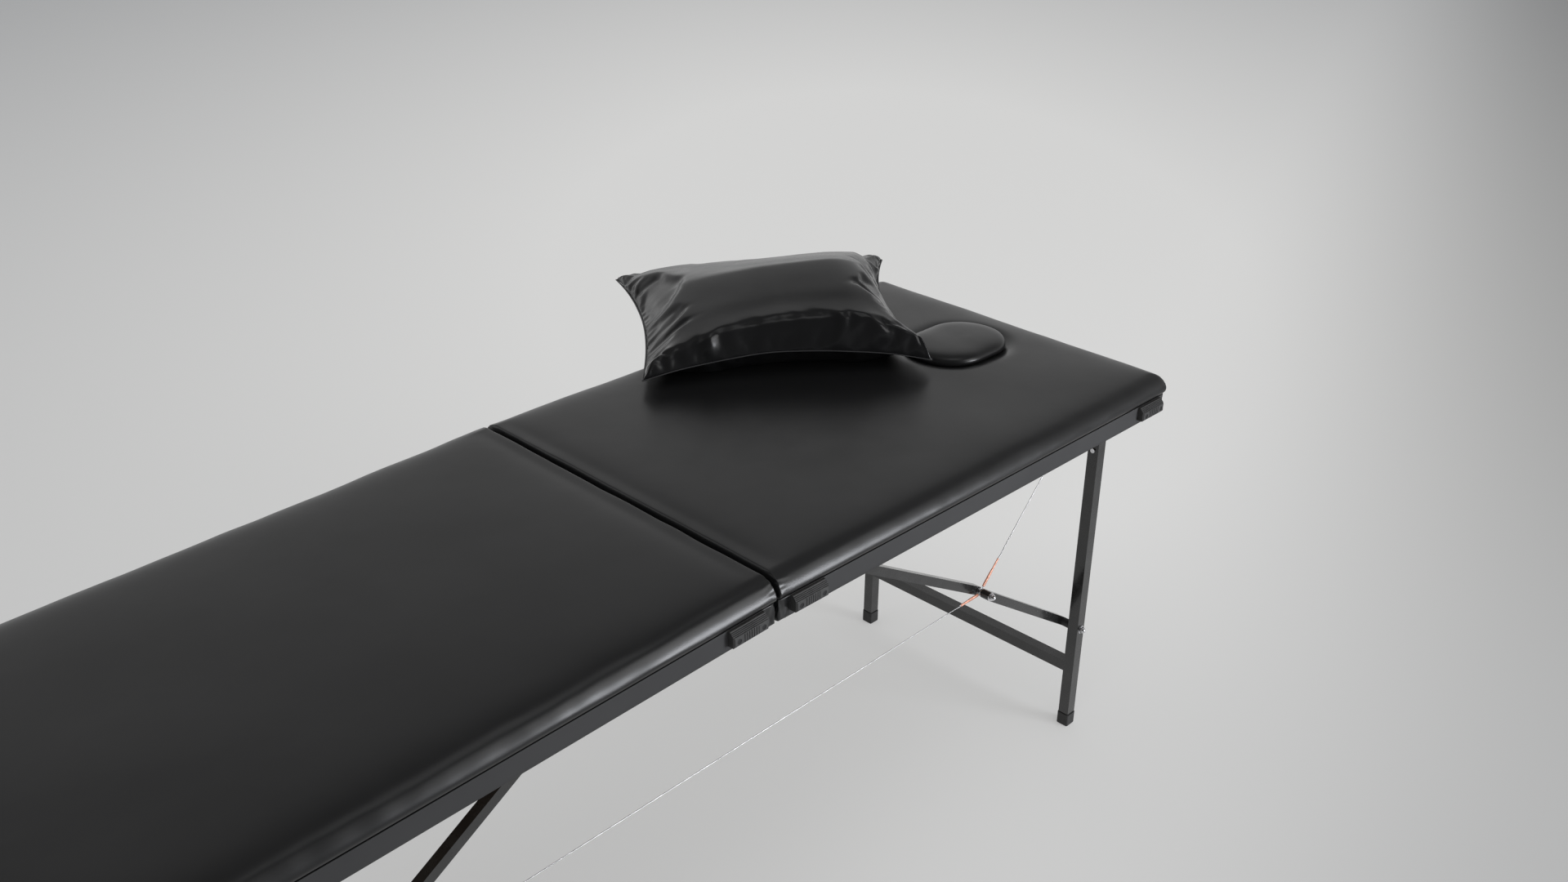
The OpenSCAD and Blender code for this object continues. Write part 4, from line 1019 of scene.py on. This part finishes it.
def scaled(tree, vector, factor):
    scale = tree.nodes.new("ShaderNodeVectorMath")
    scale.operation = "SCALE"
    tree.links.new(vector, scale.inputs[0])
    tree.links.new(factor, scale.inputs["Scale"])
    return scale.outputs["Vector"]


def shown_rays(tree):
    """1 for what the camera sees or gloss shows, 0 for what lights the couch."""
    ray = tree.nodes.new("ShaderNodeLightPath")
    shown = tree.nodes.new("ShaderNodeMath")
    shown.operation = "MAXIMUM"
    tree.links.new(ray.outputs["Is Camera Ray"], shown.inputs[0])
    tree.links.new(ray.outputs["Is Glossy Ray"], shown.inputs[1])
    return shown.outputs[0]


def make_floor():
    mat, tree, shader = node_tree("studio_floor")
    at = place(tree)
    shader.inputs["Roughness"].default_value = 0.9
    shader.inputs["Specular IOR Level"].default_value = 0.1
    # A painted pool of light that fades to the far left and the far right, as on a studio's paper
    gradient = tree.nodes.new("ShaderNodeTexGradient")
    gradient.gradient_type = "QUADRATIC_SPHERE"
    shift = tree.nodes.new("ShaderNodeMapping")
    shift.vector_type = "TEXTURE"
    shift.inputs["Location"].default_value = POOL_CENTRE
    shift.inputs["Rotation"].default_value = (0, 0, POOL_TURN)
    shift.inputs["Scale"].default_value = POOL_SIZE
    tree.links.new(at, shift.inputs["Vector"])
    tree.links.new(shift.outputs["Vector"], gradient.inputs["Vector"])
    pool = mixed(tree, ranged(tree, gradient.outputs["Fac"], 0, 1, 0.0, 0.75), *PAPER_GREYS)
    # A painted falloff of light makes the paper darker towards one side
    painted_falloff = ranged(tree, dot_with(tree, at, FLOOR_FALLOFF_WAY), 1.0, 0.6, 0.4, 1.7)
    painted_falloff.node.interpolation_type = "SMOOTHSTEP"
    paper = scaled(tree, pool, painted_falloff)
    tree.links.new(paper, shader.inputs["Base Color"])
    # Part of the background's brightness doesn't come from the lamps, and lights nothing
    tree.links.new(paper, shader.inputs["Emission Color"])
    tree.links.new(shown_rays(tree), shader.inputs["Emission Strength"])
    turns = [k * 2 * math.pi / FLOOR_SIDES for k in range(FLOOR_SIDES)]
    mesh = bpy.data.meshes.new("studio_floor")
    mesh.from_pydata([(FLOOR_R * math.cos(a), FLOOR_R * math.sin(a), 0) for a in turns], [],
                     [tuple(range(FLOOR_SIDES))])
    floor = bpy.data.objects.new("studio_floor", mesh)
    scene.collection.objects.link(floor)
    mesh.materials.append(mat)


def make_lamp(name, centre, aim, size, radiance, colour):
    """An area lamp; radiance is what a white card lit by a full sky of it would show."""
    data = bpy.data.lights.new(name, "AREA")
    data.shape = "RECTANGLE"
    data.size, data.size_y = size
    data.energy = radiance * math.pi * size[0] * size[1]
    data.color = colour
    lamp = bpy.data.objects.new(name, data)
    lamp.location = centre
    lamp.rotation_euler = (Vector(aim) - Vector(centre)).to_track_quat("-Z", "Y").to_euler()
    lamp.visible_camera = False
    scene.collection.objects.link(lamp)


def make_sun():
    """A very wide soft light from above and behind the camera, even over the whole floor."""
    data = bpy.data.lights.new("ceiling", "SUN")
    data.angle = SUN_SPREAD
    data.energy = SUN_ENERGY
    lamp = bpy.data.objects.new("ceiling", data)
    lamp.rotation_euler = Vector(SUN_WAY).to_track_quat("-Z", "Y").to_euler()
    lamp.visible_glossy = False
    scene.collection.objects.link(lamp)


def grey_ramp(tree, value, stops):
    ramp = tree.nodes.new("ShaderNodeValToRGB")
    marks = ramp.color_ramp.elements
    for k, (position, grey) in enumerate(stops):
        mark = marks[k] if k < 2 else marks.new(position)
        mark.position = position
        mark.color = (grey, grey, grey, 1)
    tree.links.new(value, ramp.inputs["Fac"])
    return ramp.outputs["Color"]


def make_world():
    world = bpy.data.worlds.new("studio")
    scene.world = world
    world.use_nodes = True
    tree = world.node_tree
    tree.nodes.clear()
    coords = tree.nodes.new("ShaderNodeTexCoord")
    split = tree.nodes.new("ShaderNodeSeparateXYZ")
    tree.links.new(coords.outputs["Generated"], split.inputs[0])
    light = grey_ramp(tree, split.outputs["Z"], ROOM_LIGHT)
    walls = grey_ramp(tree, split.outputs["Z"], ROOM_SHOWN)
    for way, left, start, stop in DARK_WALLS:
        towards = dot_with(tree, coords.outputs["Generated"], way)
        walls = scaled(tree, walls, ranged(tree, towards, 1.0, left, start, stop))
    mix = tree.nodes.new("ShaderNodeMix")
    mix.data_type = "RGBA"
    tree.links.new(shown_rays(tree), mix.inputs[0])
    tree.links.new(light, mix.inputs[6])
    tree.links.new(walls, mix.inputs[7])
    sky = tree.nodes.new("ShaderNodeBackground")
    out = tree.nodes.new("ShaderNodeOutputWorld")
    tree.links.new(mix.outputs[2], sky.inputs["Color"])
    tree.links.new(sky.outputs["Background"], out.inputs["Surface"])


def make_camera():
    data = bpy.data.cameras.new("camera")
    data.sensor_width = SENSOR
    data.lens = FOCAL / PHOTO_WIDTH * SENSOR
    data.clip_end = 100
    camera = bpy.data.objects.new("camera", data)
    yaw, pitch, roll = (math.radians(a) for a in CAMERA_TURN)
    camera.location = CAMERA_AT
    turn = Euler((math.pi / 2 - pitch, 0, -yaw), "XYZ").to_matrix() @ Euler((0, 0, roll)).to_matrix()
    camera.rotation_euler = turn.to_euler()
    scene.collection.objects.link(camera)
    scene.camera = camera


make_floor()
make_world()
for lamp_name, lamp in LAMPS.items():
    make_lamp(lamp_name, **lamp)
make_sun()
make_camera()
scene.view_settings.view_transform = "Standard"
